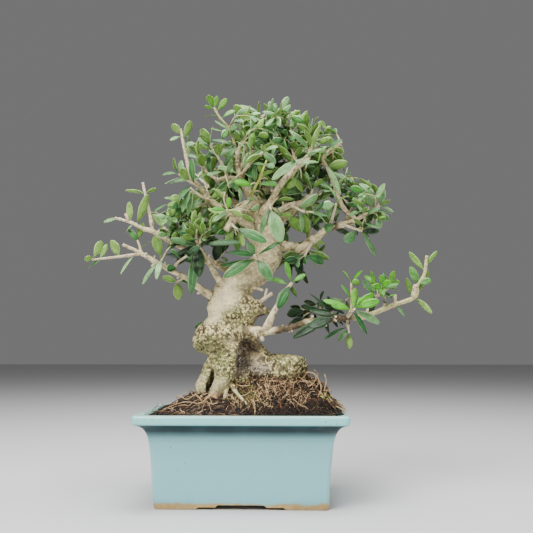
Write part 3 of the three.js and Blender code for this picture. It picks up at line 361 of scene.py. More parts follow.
SPRAYS: tuple["Stem", ...] = (
    Stem("left_tip", ((-95, -18, 221), (-116, -20, 218), (-140, -22, 215)), 1.5, 0,
         ((1.0, 9, -3, 17, 8, -70), (0.84, 5, 4, 14, 5, -60), (0.46, -7, -2, 15, 9.5, -75),
         (1.0, -6, -5, 1, 7, -60), (0.77, -15, 2, -8, 5.5, 50), (0.07, -13, -4, -18, 4.5, 25),)),
    Stem("left_fork", ((-95, -18, 221), (-98, -14, 229), (-101, -10, 235)), 1.5, 0,
         ((1.0, 4, 2, 17, 8.5, -80), (0.93, -9, 0, 12, 6, 70), (0.19, 11, -3, 7, 4.5, 30),)),
    Stem("left_spur", ((-78, -18, 211), (-75, -23, 215)), 1.5, 0, ((0.85, -6, -3, 22, 10.5, -75),
         (0.3, -17, -6, -22, 5, 25), (0.15, -3, -9, -18, 6, 60),)),
    Stem("left_mass", ((-67, -16, 205), (-59, -28, 212), (-50, -38, 216)), 1.5, 3),
    Stem("left_low", ((-56, -14, 199), (-61, -8, 197), (-65, -2, 196)), 1.4, 1,
         ((1.0, 3, -2, -17, 9.5, -75), (0.46, 12, -7, -3, 8, 60),)),
    Stem("shelf_tip", ((-96, -11, 246), (-108, -12, 252), (-122, -13, 256)), 1.8, 0,
         ((0.87, -14, -2, -3, 5, 50), (0.47, -1, -2, 19, 7, -70), (0.24, 12, -5, 28, 8.5, -75),
         (0.33, -8, 4, -8, 5, 40),)),
    Stem("shelf_up", ((-86, -10, 243), (-92, -11, 269), (-97, -11, 290)), 1.9, 0,
         ((0.77, -19, 0, 4, 4.5, -40), (0.77, 11, -2, 5, 4.5, -40), (0.33, 16, -2, 11, 5, 50),
         (0.11, 21, -5, 5, 4.5, 30), (0.63, -7, -7, -11, 5, 60),)),
    Stem("shelf_mid", ((-70, -7, 234), (-66, -2, 244), (-63, 3, 255)), 1.5, 1,
         ((1.0, -8, -2, 16, 10.5, -75), (0.45, -4, -8, 9, 9, -70),)),
    Stem("shelf_back", ((-58, -4, 228), (-69, 14, 243), (-84, 30, 254)), 1.5, 3),
    Stem("whorl_left", ((-38, -20, 222), (-40, -24, 224), (-42, -27, 227)), 2.0, 0,
         ((1.0, -16, -5, 13, 8, 65), (0.86, -24, -9, 6, 7, 70), (0.89, 13, -6, 15, 4.5, -60),
         (0.55, 13, 4, 14, 7, 60), (0.7, -22, 2, -6, 6.5, 60), (0.7, 2, -7, -31, 13, 80),
         (0.35, -7, 5, -43, 9.5, 85), (0.35, 39, -10, 3, 7, 70),)),
    Stem("heart_left", ((-29, -16, 210), (-26, -8, 217), (-20, 0, 225)), 1.5, 3),
    Stem("upleft_tip", ((-39, -14, 281), (-50, -25, 287), (-60, -30, 293)), 1.5, 4),
    Stem("upleft_mast", ((-49, -16, 291), (-53, -15, 303), (-57, -15, 320), (-61, -14, 341)), 2.0,
         0, ((0.88, -9, -3, 10, 7.5, -60), (0.86, -11, -3, -4, 4.5, 50), (0.78, 8, -3, 18, 7.5, -75),
         (0.69, 11, -5, 0, 6.5, 60),)),
    Stem("upleft_hang", ((-32, -12, 272), (-41, -24, 274), (-49, -30, 280)), 1.5, 0,
         ((1.0, -7, -3, -23, 6, 75), (0.87, -5, 2, -24, 5.5, 75), (0.36, -13, -8, -12, 7, 60),)),
    Stem("upleft_back", ((-32, -12, 272), (-44, 6, 271), (-59, 22, 272)), 1.5, 3),
    Stem("crown_left_low", ((-26, -11, 292), (-36, -14, 299), (-43, -16, 310)), 1.6, 3),
    Stem("crown_left_mid", ((-16, -8, 295), (-23, -20, 309), (-32, -24, 322)), 1.6, 3,
         ((0.98, -8, -2, 16, 8.5, -75), (0.89, -13, -3, 10, 8, 60),)),
    Stem("crown_mast", ((-8, -5, 313), (-6, -8, 322), (-5, -10, 328)), 2.0, 1,
         ((0.82, -33, -9, -16, 6, 60), (1.0, -6, -3, 13, 5.5, 80), (0.71, -26, 0, 10, 6.5, 50),
         (0.94, 14, -4, 11, 5.5, 60),)),
    Stem("top_sprig", ((-5, -5, 297), (-10, 8, 327), (-16, 4, 346), (-26, 0, 358), (-31, -1, 367)),
         1.7, 3, ((1.0, -6, -2, 11, 5, -75), (1.0, 3, -3, 11, 5.5, -75),
         (0.94, 10, -1, 13, 6.5, -75), (0.98, -10, 0, 3, 4.5, -50), (0.87, -15, -2, 0, 4.5, 30),
         (0.83, 13, -1, 9, 5.5, 50),)),
    Stem("top_curl", ((-5, -5, 303), (1, 8, 335), (10, 10, 353), (19, 10, 364)), 1.8, 0,
         ((0.77, -21, -4, 20, 12, -70), (0.93, -23, 4, 16, 5, 40),)),
    Stem("top_peak", ((21, 36, 300), (23, 26, 332), (25, 12, 350), (28, 5, 360)), 1.8, 2,
         ((1.0, -5, -2, 15, 7, 75), (0.96, -10, -4, 14, 4.5, -70), (0.99, 10, -3, 9, 5.5, -60),
         (0.94, 14, -4, 7, 5.5, 60),)),
    Stem("upr_tip", ((60, -18, 311), (62, -19, 319), (63, -18, 329)), 1.8, 2,
         ((0.09, -19, -4, 20, 6.5, 60), (0.3, 9, -5, 23, 5.5, -75), (0.95, -5, -1, 16, 5, -75),
         (0.95, 9, 0, 18, 5, -70),)),
    Stem("upr_front", ((45, -18, 298), (52, -30, 303), (58, -36, 308)), 1.6, 2,
         ((0.94, -31, -5, -22, 10.5, 70), (0.77, 17, -3, 10, 6.5, 60),)),
    Stem("high_right", ((106, 4, 256), (93, -3, 267), (84, -7, 289), (78, -9, 304), (74, -9, 313),
         (82, -7, 324), (91, -5, 329)), 2.2, 0, ((0.71, 15, -8, -34, 5.5, 65),
         (0.6, 17, -4, -11, 5, 40), (0.63, 19, 2, 6, 10, -70), (0.89, 12, -4, -6, 5, -50),)),
    Stem("arc_tip", ((57, -7, 271), (61, -8, 275), (64, -8, 283)), 1.7, 2,
         ((0.34, -30, -6, 2, 8.5, 60),)),
    Stem("arc_low", ((43, -10, 268), (55, -18, 260), (64, -24, 258)), 1.5, 3),
    Stem("young_shoot", ((4, -5, 278), (9, -18, 281), (15, -22, 292), (21, -24, 307)), 1.5, 0,
         ((0.98, 0, -2, 9, 5, 75), (0.93, 8, -4, -5, 7, 70), (0.4, -19, -7, 4, 9, 65),
         (0.42, 20, -7, 0, 5.5, 60),)),
    Stem("right_tip", ((106, 4, 256), (117, 2, 262), (128, 0, 269)), 2.2, 0,
         ((1.0, 3, -4, 17, 8.5, 75), (0.84, -12, -5, 12, 9, 70), (1.0, 13, -2, -6, 4.5, 35),
         (0.5, 16, -9, -7, 9, -60), (1.0, 10, -2, 5, 4.5, -50),)),
    Stem("right_top", ((93, 6, 252), (108, 16, 273), (119, 20, 286)), 1.6, 2,
         ((1.0, 0, -2, 11, 7, -75), (0.94, 12, 0, 6, 5.5, 60),)),
    Stem("right_low", ((93, 6, 252), (103, -4, 246), (110, -9, 243)), 1.5, 1,
         ((0.96, 13, -3, -24, 6.5, 70), (0.78, -12, -6, -13, 10.5, 75),)),
    Stem("right_front", ((80, 8, 248.5), (83, -14, 258), (85, -22, 266)), 1.6, 2,
         ((1.0, -13, -3, -2, 8.5, 75),)),
    Stem("under_right", ((66, 8, 238.5), (60, 1, 228), (56, -3, 220)), 1.6, 1,
         ((1.0, 18, 2, -6, 10.5, 60), (0.94, -15, -5, -8, 10, 65), (0.7, 21, -6, -9, 7, -60),)),
    Stem("right_back", ((80, 8, 248.5), (90, 30, 253), (104, 48, 264)), 1.6, 3),
    Stem("inner_right", ((52, 8, 229), (60, 16, 241), (64, 20, 251)), 1.5, 2,
         ((0.68, -19, -6, 17, 11.5, -75),)),
    Stem("front_hang", ((24, -10, 269), (24, -22, 264), (25, -28, 260)), 1.6, 0,
         ((1.0, 9, -7, -31, 14, 80), (0.76, -9, -3, -24, 6.5, 70),)),
    Stem("front_stub", ((-6, -22, 257), (-10, -30, 258), (-15, -36, 258)), 1.5, 0,
         ((0.93, 15, -6, -6, 8, -60), (1.0, -13, -2, 1, 5, 60), (0.84, -16, 4, -9, 7.5, 60),
         (0.86, 1, -4, 11, 5, 70),)),
    Stem("front_low", ((-12, -26, 248), (-8, -32, 243), (-5, -36, 241)), 1.4, 0,
         ((0.9, 27, -6, -13, 10.5, 70),)),
    Stem("whorl_centre", ((15, -3, 208), (13, -20, 213), (10, -28, 218)), 1.6, 0,
         ((0.96, -22, -5, 3, 7, 70), (0.96, -6, -2, 12, 8, 70), (0.9, 24, -6, 14, 5.5, 65),
         (0.82, -29, -6, -17, 10.5, 75), (0.76, 14, -8, -20, 11, 75),
         (0.68, -35, 4, -3, 6.5, 65),)),
    Stem("knob_whorl", ((37, -20, 182), (40, -22, 188), (44, -23, 193)), 2.3, 0,
         ((0.93, -5, -2, 20, 6, 75), (0.98, 12, -3, 8, 5.5, 65), (0.76, -17, 5, 7, 5.5, 60),
         (0.76, -11, -13, -21, 10, 75), (0.66, 6, 4, -10, 5, -60),)),
    Stem("low_whorl", ((94, -12, 162), (97, -20, 166), (100, -27, 169)), 1.9, 0,
         ((0.76, -19, -5, 5, 6.5, 65), (0.72, -26, 2, 11, 7, 60), (1.0, 17, -4, 14, 8, 70),
         (1.0, 20, -8, 7, 8.5, 65), (0.88, 23, -3, -12, 7.5, 65), (0.76, 13, 2, -21, 5.5, 70),
         (0.88, 2, 3, 20, 7, -75),)),
    Stem("low_upright", ((96, -12, 162), (99, -8, 174), (99, -8, 194)), 1.6, 1,
         ((0.97, 7, -3, 3, 7, -60), (0.54, -9, -3, 14, 4.5, 40),)),
    Stem("low_tip", ((111, -12, 163), (136, -12, 173), (157, -12, 181), (159, -11, 191),
         (166, -10, 201), (169, -10, 219)), 2.4, 0, ((0.33, 8, -3, -11, 4.5, 50),
         (0.68, -7, -4, 16, 8, 75), (0.68, 11, -4, 4, 7, 60), (0.53, -6, 3, 18, 6, -70),
         (0.56, 13, 4, 23, 7, -75), (0.54, 15, -2, -15, 5.5, -60), (0.84, -14, -1, 18, 6, -75),
         (0.87, 11, 0, 16, 4.5, -50),)),
    Stem("low_side", ((111, -12, 163), (119, 0, 178), (134, 5, 190)), 1.5, 1,
         ((0.69, -6, -3, 24, 4.5, -40), (0.98, -3, -3, 11, 6.5, -75), (0.98, 12, 0, 8, 8.5, -70),)),
    Stem("low_left", ((74, -13, 160), (79, -23, 161), (83, -29, 162)), 1.6, 0,
         ((0.98, -23, -7, -9, 12, 75), (0.58, -34, -3, -17, 9.5, 70), (0.78, -21, 2, 23, 4.5, 40),
         (0.94, -23, 2, 7, 8.5, 60),)),
    Stem("low_back", ((74, -13, 160), (75, 10, 168), (70, 26, 175)), 1.5, 3),
    Stem("low_down", ((94, -12, 162), (95, -12, 154), (96, -12, 148)), 1.5, 0,
         ((1.0, 0, -2, -15, 6.5, -75), (0.8, -10, -3, -10, 5, 60), (0.62, -22, -4, -10, 4.5, 35),)),
    Stem("crown_back", ((21, 36, 300), (14, 50, 329), (5, 54, 352)), 1.7, 4),
    Stem("crown_back_right", ((21, 36, 300), (43, 48, 319), (60, 50, 339)), 1.7, 4),
    Stem("crown_back_left", ((-24, 38, 290), (-44, 52, 304), (-62, 58, 321)), 1.7, 4),
    Stem("crown_front", ((-5, -5, 297), (7, -32, 303), (18, -44, 309)), 1.6, 3,
         ((0.96, -14, -2, -9, 6, -50), (1.0, 12, -4, -11, 7, 60),)),
    Stem("crown_mid", ((45, -18, 298), (47, 0, 326), (43, 4, 347)), 1.7, 4),
    Stem("crown_right", ((60, -18, 311), (68, 4, 329), (65, 10, 349)), 1.7, 3),
    Stem("back_low", ((-4, 50, 253), (-16, 66, 262), (-30, 78, 267)), 1.7, 4),
    Stem("back_right", ((49, 44, 276), (66, 60, 288), (83, 68, 301)), 1.7, 4),
    Stem("back_centre", ((49, 44, 276), (37, 66, 285), (24, 82, 298)), 1.7, 4),
)




# --------------------------------------------------------------------------
# Shader expressions
# --------------------------------------------------------------------------


class Signal:
    """A shader socket that takes part in Python expressions."""

    def __init__(self, graph: "Graph", socket: bpy.types.NodeSocket) -> None:
        """Wraps a socket.

        Args:
            graph: the graph that the socket belongs to.
            socket: the output socket.
        """
        self.graph = graph
        self.socket = socket

    def _math(self, operation: str, *values: "Signal | float") -> "Signal":
        """Returns the result of a Math node."""
        return self.graph.node("ShaderNodeMath", {"operation": operation}, dict(enumerate(values)))

    def __add__(self, other: "Signal | float") -> "Signal":
        """Returns self + other."""
        return self._math("ADD", self, other)

    __radd__ = __add__

    def __sub__(self, other: "Signal | float") -> "Signal":
        """Returns self - other."""
        return self._math("SUBTRACT", self, other)

    def __rsub__(self, other: float) -> "Signal":
        """Returns other - self."""
        return self._math("SUBTRACT", other, self)

    def __mul__(self, other: "Signal | float") -> "Signal":
        """Returns self * other."""
        return self._math("MULTIPLY", self, other)

    __rmul__ = __mul__

    def magnitude(self) -> "Signal":
        """Returns the value without its sign."""
        return self._math("ABSOLUTE", self)

    def fraction(self) -> "Signal":
        """Returns the part after the point."""
        return self._math("FRACT", self)

    def above(self, limit: float) -> "Signal":
        """Returns 1 where the value is over the limit."""
        return self._math("GREATER_THAN", self, limit)

    def most(self, other: "Signal | float") -> "Signal":
        """Returns the larger of the two."""
        return self._math("MAXIMUM", self, other)

    def ease(self, low: float, high: float) -> "Signal":
        """Returns a smooth step from 0 at low to 1 at high."""
        return self.graph.node(
            "ShaderNodeMapRange",
            {"interpolation_type": "SMOOTHSTEP"},
            {0: self, 1: low, 2: high, 3: 0.0, 4: 1.0},
        )


class Graph:
    """The node graph of one material."""

    def __init__(self, name: str) -> None:
        """Makes an empty material.

        Args:
            name: name of the material.
        """
        self.material = bpy.data.materials.new(name)
        self.material.use_nodes = True
        self.nodes = self.material.node_tree.nodes
        self.links = self.material.node_tree.links
        self.nodes.clear()

    def node(
        self, kind: str, settings: dict | None = None, inputs: dict | None = None,
        out: int | str = 0,
    ) -> Signal:
        """Adds a node.

        Args:
            kind: type of the node.
            settings: its own settings, set before its sockets.
            inputs: socket name or number, with a value or a signal to link.
            out: name or number of the output that is returned.

        Returns:
            The output socket.
        """
        made = self.nodes.new(kind)
        for key, value in (settings or {}).items():
            setattr(made, key, value)
        for key, value in (inputs or {}).items():
            if isinstance(value, Signal):
                self.links.new(value.socket, made.inputs[key])
            else:
                made.inputs[key].default_value = value
        return Signal(self, made.outputs[out])

    def place(self) -> Signal:
        """Returns the object coordinates."""
        return self.node("ShaderNodeTexCoord", out="Object")

    def attribute(self, name: str, out: str = "Color") -> Signal:
        """Returns an attribute of the mesh."""
        return self.node("ShaderNodeAttribute", {"attribute_name": name}, out=out)

    def channels(self, name: str) -> tuple[Signal, Signal, Signal]:
        """Returns the three parts of an attribute."""
        whole = self.attribute(name)
        made = self.node("ShaderNodeSeparateColor", {"mode": "RGB"}, {0: whole})
        outputs = made.socket.node.outputs
        return Signal(self, outputs[0]), Signal(self, outputs[1]), Signal(self, outputs[2])

    def height(self) -> Signal:
        """Returns the height above the ground, in metres."""
        return self.node("ShaderNodeSeparateXYZ", {}, {0: self.place()}, 2)

    def noise(self, grain_mm: float, detail: float = 3.0, rough: float = 0.55) -> Signal:
        """Returns cloudy noise whose features are about this many millimetres."""
        return self.node(
            "ShaderNodeTexNoise", {},
            {"Vector": self.place(), "Scale": 1.0 / (grain_mm * MM), "Detail": detail,
             "Roughness": rough},
        )

    def cells(self, grain_mm: float, out: str = "Distance", feature: str = "F1") -> Signal:
        """Returns a pattern of cells about this many millimetres across."""
        return self.node(
            "ShaderNodeTexVoronoi", {"feature": feature},
            {"Vector": self.stirred(grain_mm), "Scale": 1.0 / (grain_mm * MM)}, out,
        )

    def stirred(self, grain_mm: float) -> Signal:
        """Returns the object coordinates, pushed about by noise to break up cells."""
        cloud = self.node(
            "ShaderNodeTexNoise", {},
            {"Vector": self.place(), "Scale": 0.6 / (grain_mm * MM), "Detail": 2.0}, "Color",
        )
        push = (grain_mm * MM * 0.9,) * 3
        return self.node(
            "ShaderNodeVectorMath", {"operation": "MULTIPLY_ADD"},
            {0: cloud, 1: push, 2: self.place()},
        )

    def mix(self, low: "Signal | Colour", high: "Signal | Colour", share: Signal) -> Signal:
        """Returns a colour between two colours."""
        return self.node(
            "ShaderNodeMix", {"data_type": "RGBA"}, {0: share, 6: low, 7: high}, 2,
        )

    def bump(self, height: Signal, depth_mm: float, strength: float = 1.0) -> Signal:
        """Returns the normal of a surface with this relief."""
        return self.node(
            "ShaderNodeBump", {},
            {"Height": height, "Distance": depth_mm * MM, "Strength": strength},
        )

    def finish(
        self, colour: "Signal | Colour", rough: "Signal | float", normal: Signal | None = None,
        **sockets: "Signal | float",
    ) -> bpy.types.Material:
        """Closes the graph with a surface shader.

        Args:
            colour: base colour.
            rough: roughness.
            normal: normal of the surface.
            sockets: other sockets of the shader, with _ for a space.

        Returns:
            The material.
        """
        inputs = {"Base Color": colour, "Roughness": rough}
        if normal is not None:
            inputs["Normal"] = normal
        for key, value in sockets.items():
            inputs[key.replace("_", " ")] = value
        shader = self.node("ShaderNodeBsdfPrincipled", {}, inputs)
        self.node_output(shader)
        return self.material

    def node_output(self, shader: Signal) -> None:
        """Links a shader to the material's output."""
        output = self.nodes.new("ShaderNodeOutputMaterial")
        self.links.new(shader.socket, output.inputs["Surface"])


# --------------------------------------------------------------------------
# Finishes
# --------------------------------------------------------------------------


@dataclass(frozen=True)
class GlazeFinish:
    """Celadon glaze over buff clay, bare along the foot, with painted shade under the rim."""

    body: Colour = (0.250, 0.600, 0.640, 1)
    # near-black painted shade for the band under the rim
    thick: Colour = (0.003, 0.024, 0.030, 1)
    rim: Colour = (0.275, 0.725, 0.690, 1)
    thin: Colour = (0.600, 0.640, 0.470, 1)
    clay: Colour = (0.520, 0.330, 0.115, 1)
    stain: Colour = (0.430, 0.360, 0.230, 1)
    pit: Colour = (0.060, 0.080, 0.080, 1)

    def material(self) -> bpy.types.Material:
        """Returns the glaze."""
        g = Graph("celadon_glaze")
        wear, rim_shade_share, lime = g.channels("glaze")
        cloud = g.noise(26, 3)
        fine = g.noise(1.6, 2)
        height = g.height()
        colour = g.mix(self.body, self.rim, height.ease(0.066, 0.0725))
        # painted shade: the band under the rim is darkened almost to black
        colour = g.mix(colour, self.thick, rim_shade_share * (0.90 + cloud * 0.20))
        colour = g.mix(colour, self.thin, (wear * 0.75 + cloud.ease(0.56, 0.78) * 0.10))
        colour = g.mix(colour, self.stain, lime * g.noise(5, 4).ease(0.46, 0.62) * 0.75)
        specks = (1 - g.cells(9).ease(0.045, 0.085)) * g.noise(30, 1).ease(0.44, 0.54)
        colour = g.mix(colour, self.pit, specks * 0.85)
        edge = (height + (g.noise(16, 4) - 0.5) * 0.0070).ease(0.0064, 0.0030)
        clay = g.mix(self.clay, (0.58, 0.41, 0.19, 1), g.noise(3, 4).ease(0.35, 0.7))
        colour = g.mix(colour, clay, edge)
        rough = 0.17 + edge * 0.60 + lime * 0.25 + rim_shade_share * 0.35 + fine * 0.10
        relief = g.bump(g.noise(14, 2) * 0.5 + fine * 0.05 - specks * 0.5 - edge * 0.4, 0.5)
        coat = 0.35 - rim_shade_share * 0.35 - edge * 0.35
        return g.finish(colour, rough, relief, Coat_Weight=coat, Coat_Roughness=0.12)


@dataclass(frozen=True)
class SoilFinish:
    """Dark moist potting soil."""

    wet: Colour = (0.006, 0.004, 0.003, 1)
    dry: Colour = (0.022, 0.013, 0.009, 1)
    crumb: Colour = (0.170, 0.105, 0.062, 1)

    def material(self) -> bpy.types.Material:
        """Returns the soil."""
        g = Graph("moist_soil")
        lumps = g.cells(2.6)
        tone = g.cells(2.6, "Color")
        share = g.node("ShaderNodeSeparateColor", {}, {0: tone}, 0)
        colour = g.mix(self.wet, self.dry, g.noise(6, 5).ease(0.35, 0.7))
        colour = g.mix(colour, self.crumb, share.ease(0.60, 0.92) * 0.85)
        relief = g.bump(1 - lumps + g.noise(1.1, 3) * 0.5, 0.9)
        return g.finish(colour, 0.88, relief)


@dataclass(frozen=True)
class FibreFinish:
    """Root fibres, from dark and wet to pale and dry."""

    dark: Colour = (0.014, 0.008, 0.005, 1)
    brown: Colour = (0.200, 0.086, 0.034, 1)
    pale: Colour = (0.870, 0.620, 0.330, 1)

    def material(self) -> bpy.types.Material:
        """Returns the fibres' skin."""
        g = Graph("root_fibre")
        tone, green, _ = g.channels("tone")
        colour = g.mix(self.dark, self.brown, tone.ease(0.28, 0.66))
        colour = g.mix(colour, self.pale, tone.ease(0.62, 0.98))
        colour = g.mix(colour, (0.45, 0.52, 0.10, 1), green)
        grain = g.noise(1.4, 3)
        colour = g.mix(colour, self.dark, grain.ease(0.55, 0.75) * 0.5)
        return g.finish(colour, 0.78, g.bump(grain, 0.2))


@dataclass(frozen=True)
class BarkFinish:
    """Bark of the trunk: smooth skin, corky grains, growth, rotten and cut wood, and painted shade in
    cracks, notches and branch joints.
    """

    skin: Colour = (0.860, 0.725, 0.420, 1)
    freckle: Colour = (0.230, 0.150, 0.075, 1)
    cork: Colour = (0.740, 0.600, 0.250, 1)
    cork_light: Colour = (0.985, 0.880, 0.440, 1)
    cleft: Colour = (0.040, 0.027, 0.009, 1)
    moss: Colour = (0.300, 0.335, 0.085, 1)
    # near-black rotten wood, also laid on as painted shade
    rot_and_shade: Colour = (0.022, 0.014, 0.009, 1)
    # bare tan wood, made dark to stand in for shade under the low branch
    tan: Colour = (0.150, 0.098, 0.046, 1)
    chalk: Colour = (0.860, 0.790, 0.720, 1)
    pink: Colour = (0.600, 0.340, 0.200, 1)

    def material(self) -> bpy.types.Material:
        """Returns the bark."""
        g = Graph("olive_bark")
        cork, moss, rot_and_shade = g.channels("bark")
        tan, chalk, pink = g.channels("bare")
        grains = g.cells(2.0)
        tone = g.node("ShaderNodeSeparateColor", {}, {0: g.cells(2.0, "Color")}, 0)
        small = g.cells(1.1)
        blotch = g.noise(2.6, 4, 0.65)
        cloud = g.noise(11, 4)
        fine = g.noise(0.9, 3)
        freckles = (1 - g.cells(3.8).ease(0.15, 0.27)) * g.noise(7, 2).ease(0.36, 0.56)
        skin = g.mix(self.skin, (0.54, 0.46, 0.30, 1), cloud.ease(0.42, 0.72) * 0.6)
        skin = g.mix(skin, self.freckle, blotch.ease(0.54, 0.66) * 0.35)
        skin = g.mix(skin, self.freckle, freckles * 0.85)
        coarse = g.cells(3.0)
        grain = g.mix(self.cork, self.cork_light, (tone * 0.6 + blotch * 0.8).ease(0.34, 0.78))
        grain = g.mix(grain, self.cleft, grains.ease(0.40, 0.66) * cloud.ease(0.35, 0.58) * 0.95)
        grain = g.mix(grain, self.cleft, coarse.ease(0.48, 0.62) * 0.85)
        grain = g.mix(grain, self.cleft, blotch.ease(0.53, 0.63) * 0.9)
        grain = g.mix(grain, self.freckle, small.ease(0.45, 0.7) * 0.25)
        colour = g.mix(skin, grain, cork)
        green = moss * g.noise(5, 4).ease(0.38, 0.60)
        colour = g.mix(colour, g.mix(self.moss, (0.47, 0.49, 0.20, 1), tone), green * 0.85)
        colour = g.mix(colour, self.cleft, moss * cork * blotch.ease(0.49, 0.58) * 0.8)
        # bare tan wood, dark as painted shade
        colour = g.mix(colour, self.tan, tan * (0.55 + fine * 0.5))
        colour = g.mix(colour, self.pink, pink * 0.8)
        colour = g.mix(colour, (0.33, 0.25, 0.20, 1), chalk * 0.55)
        colour = g.mix(colour, self.rot_and_shade, chalk * blotch.ease(0.52, 0.60) * 0.85)
        # this dark mix covers rotten wood and the painted shade in cracks, under the burl and in branch
        # joints
        decay_and_shade = g.mix(self.rot_and_shade, (0.20, 0.125, 0.070, 1), tone.ease(0.60, 0.95))
        decay_and_shade = g.mix(decay_and_shade, (0.62, 0.54, 0.45, 1), (1 - small.ease(0.06, 0.24)) * tone.ease(0.4, 0.7))
        colour = g.mix(colour, decay_and_shade, rot_and_shade)
        crust = chalk * g.cells(1.7).ease(0.42, 0.22) * g.noise(4, 3).ease(0.40, 0.50)
        colour = g.mix(colour, self.chalk, crust)
        relief = (2 - grains - coarse * 0.6) * cork * 0.4 + fine * (0.16 + cork * 0.45)
        relief = relief - blotch * cork * 0.8
        relief = relief - freckles * 0.2 + crust * 0.3
        return g.finish(colour, 0.86 - (1 - cork) * 0.12, g.bump(relief, 1.1))


@dataclass(frozen=True)
class TwigFinish:
    """Bark of branches and twigs, with pale cut ends and green shoots."""

    old: Colour = (0.480, 0.365, 0.200, 1)
    young: Colour = (0.790, 0.680, 0.430, 1)
    shoot: Colour = (0.500, 0.560, 0.110, 1)
    brown: Colour = (0.165, 0.080, 0.038, 1)
    speck: Colour = (0.200, 0.140, 0.090, 1)
    cut: Colour = (0.800, 0.690, 0.460, 1)

    def material(self) -> bpy.types.Material:
        """Returns the bark of the twigs."""
        g = Graph("twig_bark")
        shade, green, cut = g.channels("tone")
        cloud = g.noise(8, 4)
        colour = g.mix(self.young, self.old, (shade * 0.8 + cloud * 0.5).ease(0.25, 0.85))
        patch = g.noise(3.6, 4, 0.6)
        colour = g.mix(colour, self.brown, patch.ease(0.50, 0.62) * (0.35 + shade * 0.5))
        colour = g.mix(colour, self.cut, patch.ease(0.46, 0.34) * 0.55)
        specks = (1 - g.cells(2.2).ease(0.12, 0.26)) * g.noise(5, 2).ease(0.40, 0.60)
        colour = g.mix(colour, self.speck, specks * 0.7)
        colour = g.mix(colour, self.shoot, green)
        colour = g.mix(colour, self.cut, cut)
        relief = g.bump(g.noise(1.5, 4) + patch - specks * 0.3, 0.7)
        return g.finish(colour, 0.74 - green * 0.2, relief)


@dataclass(frozen=True)
class LeafFinish:
    """Leathery leaf: dark glossy face with a pale rib and pale edges, pale dull back, with painted light,
    sheen and shade by how much light reaches it.
    """

    face: Colour = (0.014, 0.140, 0.026, 1)
    # grey-green of the face, which also serves as painted sheen
    grey: Colour = (0.270, 0.510, 0.205, 1)
    fresh: Colour = (0.075, 0.400, 0.003, 1)
    back: Colour = (0.230, 0.435, 0.062, 1)
    # painted shade on the back, for leaves that little light reaches
    back_in_shade: Colour = (0.085, 0.190, 0.028, 1)
    pale: Colour = (0.560, 0.800, 0.250, 1)
    # near-black painted shade for leaves deep among the others
    leaf_shade: Colour = (0.004, 0.018, 0.006, 1)
    rib: Colour = (0.330, 0.450, 0.180, 1)
    # pale leaf edge, also used as a painted glint
    margin_and_glint: Colour = (0.740, 0.900, 0.420, 1)

    def material(self) -> bpy.types.Material:
        """Returns the leaf."""
        g = Graph("olive_leaf")
        light, youth, grey = g.channels("tone")
        across_leaf = g.node("ShaderNodeUVMap", {"uv_map": "blade"})
        parts = g.node("ShaderNodeSeparateXYZ", {}, {0: across_leaf})
        along = Signal(g, parts.socket.node.outputs[1])
        under = parts.above(1.0)
        off = (parts.fraction() - 0.5).magnitude() * 2
        rib = (1 - off.ease(0.02, 0.13)) * (1 - along.ease(0.55, 1.0) * 0.8)
        margin_and_glint = off.ease(0.70, 0.94)
        veins = ((along * 9 + off * 1.6).fraction() - 0.5).magnitude().ease(0.40, 0.5)
        cloud = g.noise(4, 3)
        # painted light: lit leaves turn paler and greyer; the grey share is partly the leaf's own
        # grey-green and partly painted sheen
        face = g.mix(self.face, self.grey, grey * 0.95 + light * 0.34 + cloud * 0.3 - 0.34)
        face = g.mix(face, self.fresh, youth)
        # painted light and shade on the back: darker where little light reaches, paler where much does
        back = g.mix(self.back_in_shade, self.back, light * 0.75 + youth * 0.6 + cloud * 0.5 - 0.25)
        back = g.mix(back, self.pale, light.ease(0.70, 1.0) * 0.24)
        back = g.mix(back, self.fresh, youth * 0.65)
        colour = g.mix(face, back, under)
        colour = g.mix(colour, self.rib, rib * (0.42 + under * 0.12))
        # painted shade: darker on leaves that little light reaches and towards each leaf's base, with
        # random dark mottling
        shade = light.ease(0.62, 0.0) * 0.50 + light.ease(0.12, 0.0) * 0.32
        shade = shade + along.ease(0.50, 0.05) * 0.38 + g.noise(6, 2).ease(0.50, 0.62) * 0.30
        colour = g.mix(colour, self.leaf_shade, shade)
        # pale edge, brighter on lit leaves as a painted glint
        colour = g.mix(colour, self.margin_and_glint, margin_and_glint * (0.12 + light * 0.56) * (1 - youth * 0.6))
        colour = g.mix(colour, self.margin_and_glint, veins * (1 - off) * 0.06)
        rough = 0.25 + under * 0.32 + (1 - light) * 0.12
        relief = g.bump(veins * -0.15 - rib * 0.5 + cloud * 0.3, 0.35)
        return g.finish(colour, rough, relief, Specular_IOR_Level=0.32)


@dataclass(frozen=True)
class ScreenFinish:
    """Black plastic mesh over the drain holes."""

    body: Colour = (0.015, 0.015, 0.016, 1)

    def material(self) -> bpy.types.Material:
        """Returns the plastic."""
        g = Graph("screen_plastic")
        grain = g.noise(0.8, 3)
        colour = g.mix(self.body, (0.05, 0.04, 0.03, 1), g.noise(6, 3).ease(0.5, 0.7))
        return g.finish(colour, 0.45 + grain * 0.2, g.bump(grain, 0.1))


@dataclass(frozen=True)
class FloorFinish:
    """Plain pale studio floor."""

    body: Colour = (0.62, 0.62, 0.62, 1)

    def material(self) -> bpy.types.Material:
        """Returns the floor's paint."""
        g = Graph("pale_floor")
        return g.finish(self.body, 0.9)




# --------------------------------------------------------------------------
# Mesh building
# --------------------------------------------------------------------------


